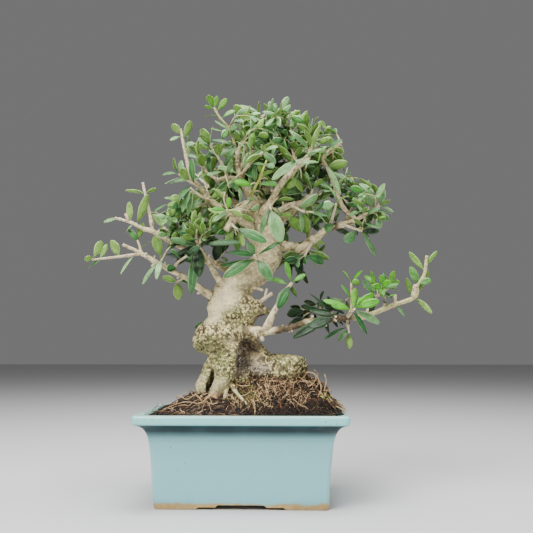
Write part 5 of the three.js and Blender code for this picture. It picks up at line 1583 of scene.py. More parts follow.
@dataclass
class Trunk:
    """Trunk and branches, grown as one piece.

    Args:
        voxel: size of the mesh of the heavy wood, in millimetres.
        web: route of the wood that closes the crack between the two legs.
        stubs: how far each branch is merged into the heavy wood.
        spur_chance: chance of a pruned spur at each step along a branch.
    """

    voxel: float = 0.80
    web: tuple[Place, ...] = (
        (-27, -9, 114, 5.2), (-29.5, -9.5, 103, 4.6), (-31, -10, 91, 4), (-31, -11, 74, 3.5))
    stubs: float = 16.0
    spur_chance: float = 0.24

    def heavy(self) -> bpy.types.Mesh:
        """Returns the heavy wood, merged to one skin."""
        work = Weaver()
        for limb in LIMBS:
            stations = smooth_route(limb.route, 2.5)
            if limb.grain is not Grain.HEAVY:
                stations = self.stub(stations)
            work.sweep(stations, 22, lambda share: (0, 0, 0, 1), depth=limb.depth, wobble=0.05)
        work.sweep(smooth_route(self.web, 2.5), 12, lambda share: (0, 0, 0, 1))
        merged = with_modifier(work.mesh("heavy"), "REMESH", mode="VOXEL", voxel_size=self.voxel)
        return merged

    def stub(self, stations: Sequence[Station]) -> list[Station]:
        """Returns the root of a branch, thinned towards its end to lie inside the branch."""
        start = stations[0][0]
        kept = [(p, r) for p, r in stations if (p - start).length < self.stubs]
        last = len(kept) - 1
        return [(p, r * (1.04 - 0.28 * (i / last) ** 2)) for i, (p, r) in enumerate(kept)]

    def weight(self, kind: Hide, point: Vector) -> float:
        """Returns how much of one kind of surface shows at a point."""
        return max((p.weight(point) for p in PATCHES if p.kind is kind), default=0.0)

    def cork(self, point: Vector) -> float:
        """Returns how corky the bark is at a point."""
        thick = 0.42 + 0.58 * ease(-point.z, -196, -176)
        thick *= 1 - 0.92 * self.weight(Hide.SKIN, point)
        thick *= 1 - 0.6 * self.weight(Hide.TAN, point)
        branch = ease(point.x, 34, 41) * ease(point.z, 138, 144)
        fork = ease(point.x, 13, 19) * ease(-point.y, 10, 14) * ease(point.z, 143, 147)
        fork *= ease(-point.z, -160, -155)
        return thick * (1 - 0.6 * max(branch, fork))

    @staticmethod
    def surfaces(heavy: bool) -> tuple[KDTree, list[float]]:
        """Returns where the wood's surface lies: middles along the limbs and their radii.

        Args:
            heavy: whether to take the trunk's limbs or the branches.
        """
        stations = [station for limb in LIMBS if (limb.grain is Grain.HEAVY) == heavy
                    and limb.grain is not Grain.ROOT for station in smooth_route(limb.route, 2.5)]
        tree = KDTree(len(stations))
        for index, (point, _) in enumerate(stations):
            tree.insert(point, index)
        tree.balance()
        return tree, [radius for _, radius in stations]

    @staticmethod
    def depth_in(surface: tuple[KDTree, list[float]], point: Vector) -> float:
        """Returns how far a point is from the surface of the nearest limb, either way."""
        tree, radii = surface
        return abs(min(far - radii[index] for _, index, far in tree.find_n(point, 5)))

    def relief(self, point: Vector, cork: float, rot_and_shade: float) -> float:
        """Returns how far the bark stands out at a point, in millimetres."""
        lumps = noise.noise(point / 8.5) * 1.3 + noise.noise(point / 15 + UP * 3) * 1.5
        stirred = point + noise.noise_vector(point / 3.2) * 1.1
        grains = (0.5 - noise.voronoi(stirred / 1.9)[0][0]) * 0.85
        pits = max(noise.noise(stirred / 2.4 + UP * 7) - 0.22, 0) * 2.4
        fine = noise.noise(point / 1.2) * 0.35
        smooth = noise.noise(point / 7) * 0.7 + noise.noise(point / 2.6) * 0.16
        sunk = rot_and_shade * (3.2 + 2.2 * noise.noise(point / 3.4)) + 2.4 * self.weight(Hide.TAN, point)
        return cork * (lumps * 0.8 + grains + fine - pits) + (1 - cork) * smooth - sunk

    def weathered(self, mesh: bpy.types.Mesh) -> Weaver:
        """Returns the heavy wood with its bark modelled, its surfaces marked, and painted shade in the
        creases where branches meet it.

        Args:
            mesh: the merged wood.
        """
        work = Weaver()
        work.bm.from_mesh(mesh)
        for _ in range(3):
            bmesh.ops.smooth_vert(work.bm, verts=list(work.bm.verts), factor=0.5,
                                  use_axis_x=True, use_axis_y=True, use_axis_z=True)
        work.bm.normal_update()
        bark = work.bm.verts.layers.float_color.new("bark")
        bare = work.bm.verts.layers.float_color.new("bare")
        trunk, branches = self.surfaces(True), self.surfaces(False)
        for vert in work.bm.verts:
            point = vert.co.copy()
            rot_and_shade = self.weight(Hide.ROT, point)
            cork = self.cork(point) * (1 - 0.5 * rot_and_shade)
            moss = self.weight(Hide.MOSS, point)
            joint = self.depth_in(branches, point)
            # painted shade: where a branch meets the trunk the bark turns dark and corky, and the surface
            # sinks a little
            crease_and_shade = 0.0
            if joint < 3:
                crease_and_shade = 1 - ease(max(joint, self.depth_in(trunk, point)), 0.5, 3.0)
            vert[bark] = (min(cork + 0.4 * crease_and_shade, 1), moss, max(rot_and_shade, 0.6 * crease_and_shade), 1)
            vert[bare] = tuple(self.weight(kind, point) for kind in
                               (Hide.TAN, Hide.CHALK, Hide.PINK)) + (1,)
            vert.co = point + vert.normal * (self.relief(point, cork, rot_and_shade) - 0.7 * crease_and_shade)
        return work

    def slender(self, stems: Sequence["GrowingStem"]) -> bpy.types.Mesh:
        """Returns the branches, the surface roots and the collars of the stems.

        Args:
            stems: the leafy stems.
        """
        work = Weaver()
        bark = work.bm.verts.layers.float_color.new("bark")
        bare = work.bm.verts.layers.float_color.new("bare")
        for limb in LIMBS:
            if limb.grain is Grain.HEAVY:
                continue
            rough = limb.name in ("branch_right", "branch_right_low")
            made = work.sweep(smooth_route(limb.route, 1.8), 14, lambda share: (0.4, 0, 0, 1),
                              wobble=0.24 if rough else 0.15)
            for vert in made:
                brown = 0.0
                if limb.name == "branch_right_low":
                    # brown bark about x = 42; about x = 82 the same dark mix is painted shade under the
                    # big leaves
                    brown = max(ease(-abs(vert.co.x - 42), -17, -9), ease(-abs(vert.co.x - 82), -24, -12))
                torn = ease(-(vert.co - Vector((84, 8, 248))).length, -9, -4)
                root = limb.grain is Grain.ROOT
                patchy = ease(noise.noise(vert.co / 6), -0.25, 0.35)
                spots = ease(noise.noise(vert.co / 3 + UP * 5), 0.16, 0.42)
                cork = 0.75 * max(brown, torn) + (0.85 if rough else 0.55) * patchy
                vert[bark] = (min(max(cork, 0), 1), 0.55 * root,
                              max(0.55 * brown + 0.5 * torn, 0.45 * spots), 1)
                vert[bare] = (max(brown, torn, 0.15 * patchy), 0, 0.25 * torn, 1)
        for stem in stems:
            stations = stem.stations(0.0, stem.collar + 0.2)
            work.sweep(stations, 9, lambda share: (0.35, 0, 0, 1), material=1, wobble=0.24)
        for base, end, radius in STUBS:
            route = [(*base, radius * 1.15), (*end, radius)]
            stations = smooth_route(route, 2.0)
            tip = Vector(end)
            stations.append((tip + (tip - Vector(base)).normalized() * 0.2, radius * 0.9))
            work.sweep(stations, 9, lambda share: (0.4, 0, float(share == 1), 1), material=1,
                       wobble=0.24)
        self.spurs(work)
        return work.mesh("slender")

    def spurs(self, work: Weaver) -> None:
        """Adds short pruned spurs with pale cut ends along the branches.

        Args:
            work: the mesh to add to.
        """
        stream = Stream(3307)
        for limb in LIMBS:
            if limb.grain is not Grain.BRANCH:
                continue
            stations = smooth_route(limb.route, 2.5)
            for (point, radius), (following, _) in zip(stations[4:], stations[5:]):
                if stream.draw() > self.spur_chance:
                    continue
                tangent = (following - point).normalized()
                out = across(stream.ball() + UP * 0.2, tangent)
                thick, reach = stream.between(0.75, 1.3), stream.between(1.4, 4.4)
                way = (out + tangent * 0.35).normalized()
                route = [(point + way * far, thick * share) for far, share in (
                    (radius * 0.5, 1.5), (radius + 0.4, 1.2), (radius + reach * 0.6, 1.0),
                    (radius + reach, 0.95), (radius + reach + 0.2, 0.85))]
                work.sweep(route, 8, lambda share: (0.35, 0, float(share == 1), 1), material=1,
                           wobble=0.24)

    def build(self, bench: Bench, stems: Sequence["GrowingStem"], twig: bpy.types.Material) -> None:
        """Builds the trunk.

        Args:
            bench: where the piece is finished.
            stems: the leafy stems.
            twig: finish of the twigs.
        """
        work = self.weathered(self.heavy())
        work.bm.from_mesh(self.slender(stems))
        bench.piece("trunk_wood", work.mesh("wood"), [BarkFinish().material(), twig],
                    ["trunk"])


# --------------------------------------------------------------------------
# Leaves and stems
# --------------------------------------------------------------------------


@dataclass
class Leaf:
    """One leaf: its root, its direction and length, its width and its upper side."""

    root: Vector
    along: Vector
    width: float
    up: Vector
    arch: float = 0.07
    droop: float = 0.06
    youth: float = 0.0
    light: float = 0.6

    @property
    def face(self) -> Vector:
        """The direction that the upper face looks in."""
        return across(self.up, self.along.normalized())

    def tip(self) -> Vector:
        """Returns the place of the leaf's tip."""
        return self.root + self.along - self.face * self.along.length * self.droop

    def middle(self) -> Vector:
        """Returns the place just past half-way along the leaf."""
        return self.root + self.along * 0.55

    def placer(self, stream: Stream) -> Callable[[Vector], Vector]:
        """Returns the map from the flat template to the bent leaf.

        Args:
            stream: the stream of random numbers.
        """
        run = self.along.length
        tangent, face = self.along.normalized(), self.face
        side = face.cross(tangent)
        half = self.width / 2
        fold = stream.between(0.02, 0.30)
        twist = stream.between(-0.55, 0.55)
        peak = (self.arch + stream.between(-0.04, 0.08)) * 3.4

        def place(co: Vector) -> Vector:
            """Returns where a point of the template goes."""
            x, y, z = co
            turn = twist * y
            flat = side * math.cos(turn) + face * math.sin(turn)
            lift = face * math.cos(turn) - side * math.sin(turn)
            arch = peak * y * (1 - y) * (1 - 0.45 * y) - self.droop * y ** 2
            rise = half * (fold * abs(x) ** 1.4 - 0.10 * abs(x) ** 6) + z * 0.42
            bent = self.root + tangent * (run * y) + face * (run * arch)
            return bent + flat * (half * x) + lift * rise

        return place


class BladeTemplate:
    """Flat leaf of length 1 and half-width 1, with a face and a back."""

    cuts: tuple[float, ...] = (0.0, 0.07, 0.17, 0.33, 0.52, 0.70, 0.85, 0.945, 0.985, 1.0)

    def __init__(self, blunt: float) -> None:
        """Makes the template.

        Args:
            blunt: how rounded its tip is, from 0 to 1.
        """
        bm = bmesh.new()
        layer = bm.loops.layers.uv.new("blade")
        bmesh.ops.create_grid(bm, x_segments=4, y_segments=len(self.cuts) - 1, size=1.0)
        bmesh.ops.triangulate(bm, faces=list(bm.faces))
        upper = list(bm.faces)
        shares = {vert: (vert.co.x, self.cuts[round((vert.co.y + 1) / 2 * (len(self.cuts) - 1))])
                  for vert in bm.verts}
        for face in upper:
            for loop in face.loops:
                across_leaf, along = shares[loop.vert]
                loop[layer].uv = ((across_leaf + 1) / 2 * 0.998 + 0.001, along)
        for vert, (across_leaf, along) in shares.items():
            edge = abs(across_leaf) > 0.99 or along in (0.0, 1.0)
            vert.co = Vector((across_leaf * self.outline(along, blunt), along, 0 if edge else 0.5))
        lower = bmesh.ops.duplicate(bm, geom=list(bm.verts) + list(bm.edges) + upper)["geom"]
        under = [item for item in lower if isinstance(item, bmesh.types.BMFace)]
        for vert in {vert for face in under for vert in face.verts}:
            vert.co.z = -vert.co.z
        for face in under:
            for loop in face.loops:
                loop[layer].uv.x += 1.0
        bmesh.ops.reverse_faces(bm, faces=under)
        bmesh.ops.remove_doubles(bm, verts=list(bm.verts), dist=1e-5)
        for rim in bm.edges:
            rim.smooth = rim.calc_face_angle(0.0) < math.radians(80)
        self.mesh = bpy.data.meshes.new("blade_template")
        bm.to_mesh(self.mesh)
        bm.free()

    @staticmethod
    def outline(along: float, blunt: float) -> float:
        """Returns the half-width of the blade at a share of its length."""
        if along <= 0.07:
            return 0.10 * (along > 0)
        t = min((along - 0.045) / 0.955, 1.0)
        shape = max(math.sin(math.pi * t ** (0.94 + 0.72 * blunt ** 1.5)), 0.0)
        base, tip = 0.84 + 0.30 * blunt, 0.52 - 0.06 * blunt
        return shape ** (base + (tip - base) * t)


@dataclass
class GrowthRule:
    """Rule by which pairs of leaves follow a twig, with sizes in millimetres."""

    length: float = 20.5
    width: float = 8.0
    spread: float = 0.98
    tip_spread: float = 0.62
    seed: int = 4211
    traced: tuple[Place, ...] = (
        (0, 0, 1), (-3, 0, 1), (3, 0, 1), (-6, 1, 0.95), (6, 1, 0.95), (-9, 3, 0.8), (9, 3, 0.8))
    swung: tuple[Place, ...] = (
        (0, 0, 1), (0.55, 0.1, 1), (-0.55, 0.1, 1), (0.9, -0.25, 0.85), (-0.9, 0.25, 0.85))

    def traced_leaves(self, stem: "GrowingStem") -> list[list[Leaf]]:
        """Returns the places that each listed leaf may take."""
        way = stem.way
        made = []
        for share, x, y, z, width, turn in stem.plan.leaves:
            root = way.at(min(max(way.total * share, stem.collar + 1.5), way.total - 0.4))
            angle = math.radians(turn)
            up = Vector((0, -math.sin(angle), math.cos(angle)))
            made.append([
                Leaf(root, Vector((x, y + dy, z + dz)) * size, width, up)
                for dy, dz, size in self.traced])
        return made

    def paired_leaves(self, stem: "GrowingStem", index: int) -> list[list[Leaf]]:
        """Returns the places that each leaf of the rule may take."""
        stream = Stream(self.seed + index * 17)
        way, pairs = stem.way, stem.plan.pairs
        along = carried_frames(way.points)
        first = stem.collar + 3
        made = []
        for pair in range(pairs):
            share = pair / (pairs - 1) if pairs > 1 else 1.0
            distance = first + (way.total - 0.6 - first) * share
            segment = way.segment(distance)
            tangent = (way.points[segment] - way.points[segment - 1]).normalized()
            root = way.at(distance)
            spread = self.spread + (self.tip_spread - self.spread) * share
            size = 1.08 - 0.26 * share
            turn = stream.draw() * math.pi * 0.5 + pair * math.pi * 0.5
            flank = across(along[segment][1], tangent)
            back = tangent.cross(flank)
            for twin in range(2):
                jitter = stream.draw() - 0.5
                run = self.length * size * (0.86 + 0.3 * stream.draw())
                width = self.width * size * (0.85 + 0.35 * stream.draw())
                tries = []
                for swing, opened, shorter in self.swung:
                    around = turn + twin * math.pi + jitter * 0.5 + swing
                    lean = spread + jitter * 0.3 + opened
                    out = flank * math.cos(around) + back * math.sin(around)
                    heading = tangent * math.cos(lean) + out * math.sin(lean)
                    up = tangent * math.sin(lean) - out * math.cos(lean) + Vector((0, -0.25, 0.8))
                    tries.append(Leaf(root, heading * (run * shorter), width, up))
                made.append(tries)
        return made


# Millimetres: the steps in which a stem's collar grows, how clear of the limbs and
# of the route's corners it ends, and how near a solid corner a leaf's tip lies.
COLLAR_STEP = 0.5
COLLAR_CLEAR = 0.6
COLLAR_STRAIGHT = 2
TIP_MATCH = 0.05


class GrowingStem:
    """A leafy stem being built: its twig, its leaves and its side shoots."""

    def __init__(self, plan: Stem, skeleton: Skeleton) -> None:
        """Finds where the stem's own wood starts.

        Args:
            plan: the stem's route and leaves.
            skeleton: the limbs of the tree.
        """
        self.plan = plan
        self.way = Walk(plan.route)
        self.leaves: list[Leaf] = []
        self.shoots: list[list[Station]] = []
        joints = self.way.reach[1:-1]
        self.collar = 1.0
        while self.collar < self.way.total - 2 and (
            skeleton.clearance(self.way.at(self.collar)) < plan.radius + COLLAR_CLEAR
            or any(abs(joint - self.collar) < COLLAR_STRAIGHT for joint in joints)
        ):
            self.collar += COLLAR_STEP

    def radius(self, share: float) -> float:
        """Returns the twig's radius at a share of its length."""
        return self.plan.radius * (1 - 0.38 * share)

    def stations(self, start: float, end: float) -> list[Station]:
        """Returns the twig's curve between two distances along it."""
        total = self.way.total
        route = [(*self.way.at(start), self.radius(start / total))]
        route += [(*self.way.at(d), self.radius(d / total)) for d in self.way.reach
                  if start + 1 < d < end - 1]
        route.append((*self.way.at(end), self.radius(end / total)))
        return smooth_route(route, 2.2)

    def settle(self, rule: GrowthRule, index: int, tips: KDTree) -> int:
        """Keeps the leaves that the solid model has, by the places of their tips.

        A collar that ends right at its limit can round to the step beside it, which
        moves the leaves. So those steps are tried too, and the best match stays.

        Args:
            rule: how the leaves follow the twig.
            index: the stem's place among the stems.
            tips: corners of the solid node.

        Returns:
            How many leaves the rule gives the stem.
        """
        best = self.collar
        for collar in (best, best - COLLAR_STEP, best + COLLAR_STEP):
            self.collar = collar
            tries = rule.traced_leaves(self) + rule.paired_leaves(self, index)
            fitting = ([leaf for leaf in choices if tips.find(leaf.tip())[2] < TIP_MATCH]
                       for choices in tries)
            leaves = [found[0] for found in fitting if found]
            if len(leaves) > len(self.leaves):
                self.leaves, best = leaves, collar
        self.collar = best
        return len(tries)

    def build(
        self, bench: Bench, blades: Sequence[BladeTemplate], finishes: Sequence[bpy.types.Material],
        index: int,
    ) -> None:
        """Builds the stem.

        Args:
            bench: where the piece is finished.
            blades: leaf templates, from pointed to blunt.
            finishes: the leaf's and the twig's materials.
            index: number of the stem, which fixes its random draws.
        """
        stream = Stream(9100 + index * 31)
        work = Weaver()
        shade = 0.1 + 0.4 * stream.draw()
        green = YOUNG_WOOD.get(self.plan.name, 0.0)
        twig = self.stations(self.collar - 0.6, self.way.total)
        last, thick = twig[-1]
        twig.append((last + (last - twig[-2][0]).normalized() * 0.2, thick * 0.9))
        work.sweep(twig, 9, lambda share: (shade, green, float(share == 1), 1), material=1,
                   wobble=0.24)
        for shoot in self.shoots:
            work.sweep(shoot, 6, lambda share: (shade, 0.3 * share, 0, 1), material=1, wobble=0.15)
        grey = GREY_STEMS.get(self.plan.name, 0.48)
        for leaf in self.leaves:
            shape = (0.85 * stream.draw() + 0.5 * leaf.youth) * len(blades)
            blade = blades[min(int(shape), len(blades) - 1)]
            light = leaf.light * stream.between(0.30, 1.0) + 0.14 * (leaf.light > 0.1)
            # share of grey-green, with painted sheen stronger on hanging leaves
            grey_and_sheen = grey + stream.between(-0.45, 0.40)
            grey_and_sheen += 0.20 * ease(-leaf.along.z / leaf.along.length, 0.45, 0.9)
            tone = (light, leaf.youth, min(max(grey_and_sheen, 0), 1), 1)
            work.stamp(blade.mesh, leaf.placer(stream), tone)
        bench.piece(f"leafy_{self.plan.name}", work.mesh("stem"), finishes,
                    [f"spray_{self.plan.name}"])


@dataclass(frozen=True)
class Cloud:
    """A mass of leaves that side shoots fill.

    Args:
        centre: middle of the mass, in millimetres.
        radii: half-sizes along x, y and z.
        shoots: how many side shoots fill it.
        youth: how young its leaves are, from 0 to 1.
    """

    centre: Place
    radii: Place
    shoots: int
    youth: float = 0.0


@dataclass(frozen=True)
class Opening:
    """A place among the branches that stays free of leaves, seen from the front."""

    x: float
    z: float
    half_width: float
    half_height: float

    def holds(self, point: Vector) -> bool:
        """Returns whether a point lies in the opening."""
        off_x, off_z = (point.x - self.x) / self.half_width, (point.z - self.z) / self.half_height
        return off_x ** 2 + off_z ** 2 < 1


YOUNG_WOOD: dict[str, float] = {
    "young_shoot": 1.0, "front_stub": 0.8, "top_sprig": 0.35, "knob_whorl": 0.3, "low_tip": 0.3,
}
SHADED_STEMS: dict[str, float] = {
    "under_right": 0.45, "low_left": 0.09, "low_back": 0.2, "back_low": 0.6, "arc_low": 0.6,
    "heart_left": 0.6, "knob_whorl": 0.5, "high_right": 0.6,
}
# Each stem's share of grey-green on its leaves, which also carries painted sheen.
GREY_STEMS: dict[str, float] = {
    "low_whorl": 0.1, "low_upright": 0.1, "low_tip": 0.15, "low_side": 0.1, "low_left": 0.1,
    "low_back": 0.1, "low_down": 0.1, "left_mass": 0.2, "left_low": 0.2, "heart_left": 0.15,
    "whorl_left": 0.3, "whorl_centre": 0.2, "front_hang": 0.45, "front_low": -0.2,
    "right_low": 0.2, "under_right": 0.15, "knob_whorl": 0.2,
}
YOUNG_TIPS: dict[str, float] = {
    "young_shoot": 1.0, "front_stub": 1.0, "top_sprig": 0.6, "knob_whorl": 0.8, "low_whorl": 1.0,
    "low_tip": 0.55, "low_side": 1.0, "left_tip": 0.35, "top_curl": 0.3, "low_upright": 0.9,
    "inner_right": 0.7, "left_fork": 0.3, "shelf_up": 0.3, "shelf_tip": 0.3,
}
CLOUDS: tuple[Cloud, ...] = (
    Cloud((30, 6, 340), (52, 32, 24), 42, 0.1),
    Cloud((-14, 2, 318), (34, 30, 26), 20, 0.1),
    Cloud((68, 8, 320), (32, 30, 26), 23, 0.1),
    Cloud((26, 4, 300), (56, 30, 22), 30, 0.05),
    Cloud((20, 44, 318), (54, 32, 40), 30),
    Cloud((34, 52, 276), (48, 26, 34), 20),
    Cloud((-30, 28, 268), (40, 30, 34), 20),
    Cloud((-34, -12, 246), (40, 28, 24), 27, 0.05),
    Cloud((-66, -2, 254), (26, 24, 20), 7, 0.1),
    Cloud((6, -14, 268), (40, 24, 26), 27, 0.05),
    Cloud((114, -4, 262), (25, 26, 20), 17, 0.1),
    Cloud((96, 14, 284), (24, 26, 22), 12, 0.05),
    Cloud((52, 14, 222), (22, 24, 16), 10),
    Cloud((118, -8, 184), (20, 16, 10), 4, 0.7),
    Cloud((76, 4, 170), (22, 13, 8), 11),
    Cloud((50, 4, 164), (14, 14, 7), 4),
    Cloud((-58, -14, 236), (26, 20, 12), 8, 0.05),
)
SHOWN_STEMS: tuple[str, ...] = (
    "left_tip", "left_fork", "left_spur", "shelf_tip", "shelf_up", "upleft_tip", "upleft_mast",
    "crown_mast", "upr_tip", "young_shoot", "arc_tip", "right_tip", "front_stub", "low_tip",
    "top_sprig", "high_right", "front_hang",
)
EYE = Vector((38.9, -637.8, 131.9))
OPENINGS: tuple[Opening, ...] = (
    Opening(85, 214, 34, 12),
    Opening(-68, 292, 14, 16),
    Opening(120, 320, 24, 28),
    Opening(-112, 200, 30, 14),
    Opening(53, 249, 13, 13),
    Opening(54, 184, 9, 9),
    Opening(122, 340, 30, 22),
)
HOLLOWS: tuple[Patch, ...] = (
    Patch(Hide.SHADE, (46, 3, 165), (22, 19, 12), 0.95),
    Patch(Hide.SHADE, (80, 4, 173), (24, 16, 13), 0.95),
    Patch(Hide.SHADE, (52, 14, 222), (26, 20, 16), 0.95),
    Patch(Hide.SHADE, (-62, -2, 244), (36, 22, 24), 0.6),
    Patch(Hide.SHADE, (-20, 4, 232), (22, 22, 14), 0.7),
    Patch(Hide.SHADE, (104, 10, 250), (30, 24, 20), 0.5),
)


@dataclass
class ExtraGrowth:
    """Side shoots that fill out the masses of leaves.

    Args:
        seed: whole number that fixes the random draws.
        reach: longest way from a twig to a shoot's end, in millimetres.
        gap: least distance between the middles of two leaves.
        low: lowest corner that leaves keep inside of, in millimetres.
        high: highest corner.
    """

    seed: int
    reach: float
    gap: float
    low: Vector
    high: Vector
    shown: list[tuple[Vector, Vector, float]] = field(default_factory=list)

    @staticmethod
    def on_screen(point: Vector) -> Vector:
        """Returns where the line of sight through a point meets the tree's middle plane."""
        seen = EYE + (point - EYE) * (-EYE.y / (point.y - EYE.y))
        return Vector((seen.x, seen.z))

    def show(self, route: Sequence[Place]) -> None:
        """Keeps the front of a branch in view.

        Args:
            route: stations of the branch, as x, y, z and radius.
        """
        for a, b in zip(route, route[1:]):
            self.shown.append((Vector(a[:3]), Vector(b[:3]), (a[3] + b[3]) / 2))

    def hides(self, point: Vector) -> bool:
        """Returns whether a leaf here would cover a branch that shows from the front."""
        seen = self.on_screen(point)
        for start, end, radius in self.shown:
            a, b = self.on_screen(start), self.on_screen(end)
            run = b - a
            share = min(max(run.dot(seen - a) / max(run.length_squared, 0.01), 0.0), 1.0)
            if (seen - a - run * share).length < radius + 1.2:
                if point.y < start.y + (end.y - start.y) * share:
                    return True
        return False

    def cell(self, point: Vector) -> Place:
        """Returns the cell of space that a point is in."""
        return tuple(round(value / self.gap) for value in point)

    def inside(self, point: Vector) -> bool:
        """Returns whether a point is inside the tree's own space."""
        return all(a + 1.5 < p < b - 1.5 for a, p, b in zip(self.low, point, self.high))

    def fits(self, leaf: Leaf, skeleton: Skeleton, middles: dict) -> bool:
        """Returns whether a leaf is clear of the branches, the other leaves and the openings.

        Args:
            leaf: the leaf.
            skeleton: the limbs of the tree.
            middles: middles of the leaves so far, by cell.
        """
        middle, tip = leaf.middle(), leaf.tip()
        if not (self.inside(tip) and self.inside(middle)) or tip.z < 118:
            return False
        if skeleton.clearance(tip) < 1.5 or skeleton.clearance(middle) < 2.2:
            return False
        if any(opening.holds(tip) or opening.holds(middle) for opening in OPENINGS):
            return False
        if (self.hides(middle) or self.hides(tip)) and not 0.22 > (middle.x * 0.618) % 1.0:
            return False
        cell = self.cell(middle)
        for dx in (-1, 0, 1):
            for dy in (-1, 0, 1):
                for dz in (-1, 0, 1):
                    near = middles.get((cell[0] + dx, cell[1] + dy, cell[2] + dz), ())
                    if any((middle - other).length < self.gap for other in near):
                        return False
        middles.setdefault(cell, []).append(middle)
        return True

    def grow(self, stems: Sequence[GrowingStem], skeleton: Skeleton) -> int:
        """Adds the side shoots.

        Args:
            stems: the leafy stems, which take the shoots and their leaves.
            skeleton: the limbs of the tree.

        Returns:
            The number of leaves added.
        """
        stream = Stream(self.seed)
        for limb in LIMBS:
            if limb.grain is Grain.BRANCH:
                self.show(limb.route)
        for stem in stems:
            if stem.plan.name in SHOWN_STEMS:
                self.show([(*p, stem.plan.radius) for p in stem.way.points])
        middles: dict = {}
        sources = KDTree(sum(9 for _ in stems))
        roots: list[tuple[GrowingStem, float]] = []
        for stem in stems:
            for leaf in stem.leaves:
                middle = leaf.middle()
                cell = self.cell(middle)
                middles.setdefault(cell, []).append(middle)
            for i in range(9):
                distance = stem.collar + 1 + (stem.way.total - 1.5 - stem.collar) * i / 8
                sources.insert(stem.way.at(distance), len(roots))
                roots.append((stem, distance))
        sources.balance()
        added = 0
        for cloud in CLOUDS:
            for _ in range(cloud.shoots):
                ball = stream.ball()
                goal = Vector(tuple(c + b * r for c, b, r in zip(cloud.centre, ball, cloud.radii)))
                found = [index for _, index, far in sources.find_n(goal, 6) if far > 5]
                if not found:
                    continue
                stem, distance = roots[found[int(stream.draw() * len(found))]]
                added += self.shoot(stem, distance, goal, cloud.youth, stream, skeleton, middles)
        return added

    def shoot(
        self, stem: GrowingStem, distance: float, goal: Vector, youth: float, stream: Stream,
        skeleton: Skeleton, middles: dict,
    ) -> int:
        """Grows one side shoot with its leaves.

        Args:
            stem: the stem that it grows from.
            distance: how far along the twig it starts.
            goal: where it grows to.
            youth: how young its leaves are.
            stream: the stream of random numbers.
            skeleton: the limbs of the tree.
            middles: middles of the leaves so far, by cell.

        Returns:
            The number of its leaves.
        """
        start = stem.way.at(distance)
        run = goal - start
        if run.length > self.reach:
            run = run.normalized() * self.reach * stream.between(0.8, 1.0)
        if run.length < 9:
            run = run.normalized() * 9
        tangent = (stem.way.at(min(distance + 1, stem.way.total)) - stem.way.at(distance - 1))
        tangent = tangent.normalized()
        bend = tangent * run.length * 0.18 + UP * run.length * 0.05
        end = start + run
        middle = start + run * 0.5 + bend
        if skeleton.clearance(middle) < 1.5 or skeleton.clearance(end) < 2:
            return 0
        thick = min(stem.radius(distance / stem.way.total) * 0.62, 0.95)
        route = [(*start, thick), (*middle, thick * 0.85), (*end, thick * 0.6)]
        stations = smooth_route(route, 2.6)
        points = [point for point, _ in stations]
        along = carried_frames(points)
        pairs = max(2, min(5, round(run.length / 6.2)))
        turn = stream.between(0, math.pi)
        size = stream.between(0.82, 1.02)
        leaves: list[Leaf] = []
        for pair in range(pairs):
            share = pair / (pairs - 1)
            i = min(round((0.28 + 0.72 * share) * (len(points) - 1)), len(points) - 1)
            heading, side, back = along[i]
            turn += math.pi / 2 + stream.between(-0.25, 0.25)
            for twin in (0, 1):
                around = turn + twin * math.pi + stream.between(-0.3, 0.3)
                lean = 1.02 - 0.48 * share + stream.between(-0.18, 0.18)
                out = side * math.cos(around) + back * math.sin(around)
                way = heading * math.cos(lean) + out * math.sin(lean)
                length = 19.2 * size * (1.0 - 0.22 * share) * stream.between(0.82, 1.14)
                width = 7.1 * size * stream.between(0.82, 1.12)
                up = heading * math.sin(lean) - out * math.cos(lean) + Vector((0, -0.25, 0.8))
                up += stream.ball() * 0.7
                leaf = Leaf(points[i], way * length, width, up, stream.between(0.02, 0.12),
                            stream.between(0.0, 0.12), min(youth * 2 * share * stream.draw() * 2, 1))
                if self.fits(leaf, skeleton, middles):
                    leaves.append(leaf)
        if leaves:
            stem.shoots.append(stations)
            stem.leaves += leaves
        return len(leaves)


# --------------------------------------------------------------------------
# Tree
# --------------------------------------------------------------------------


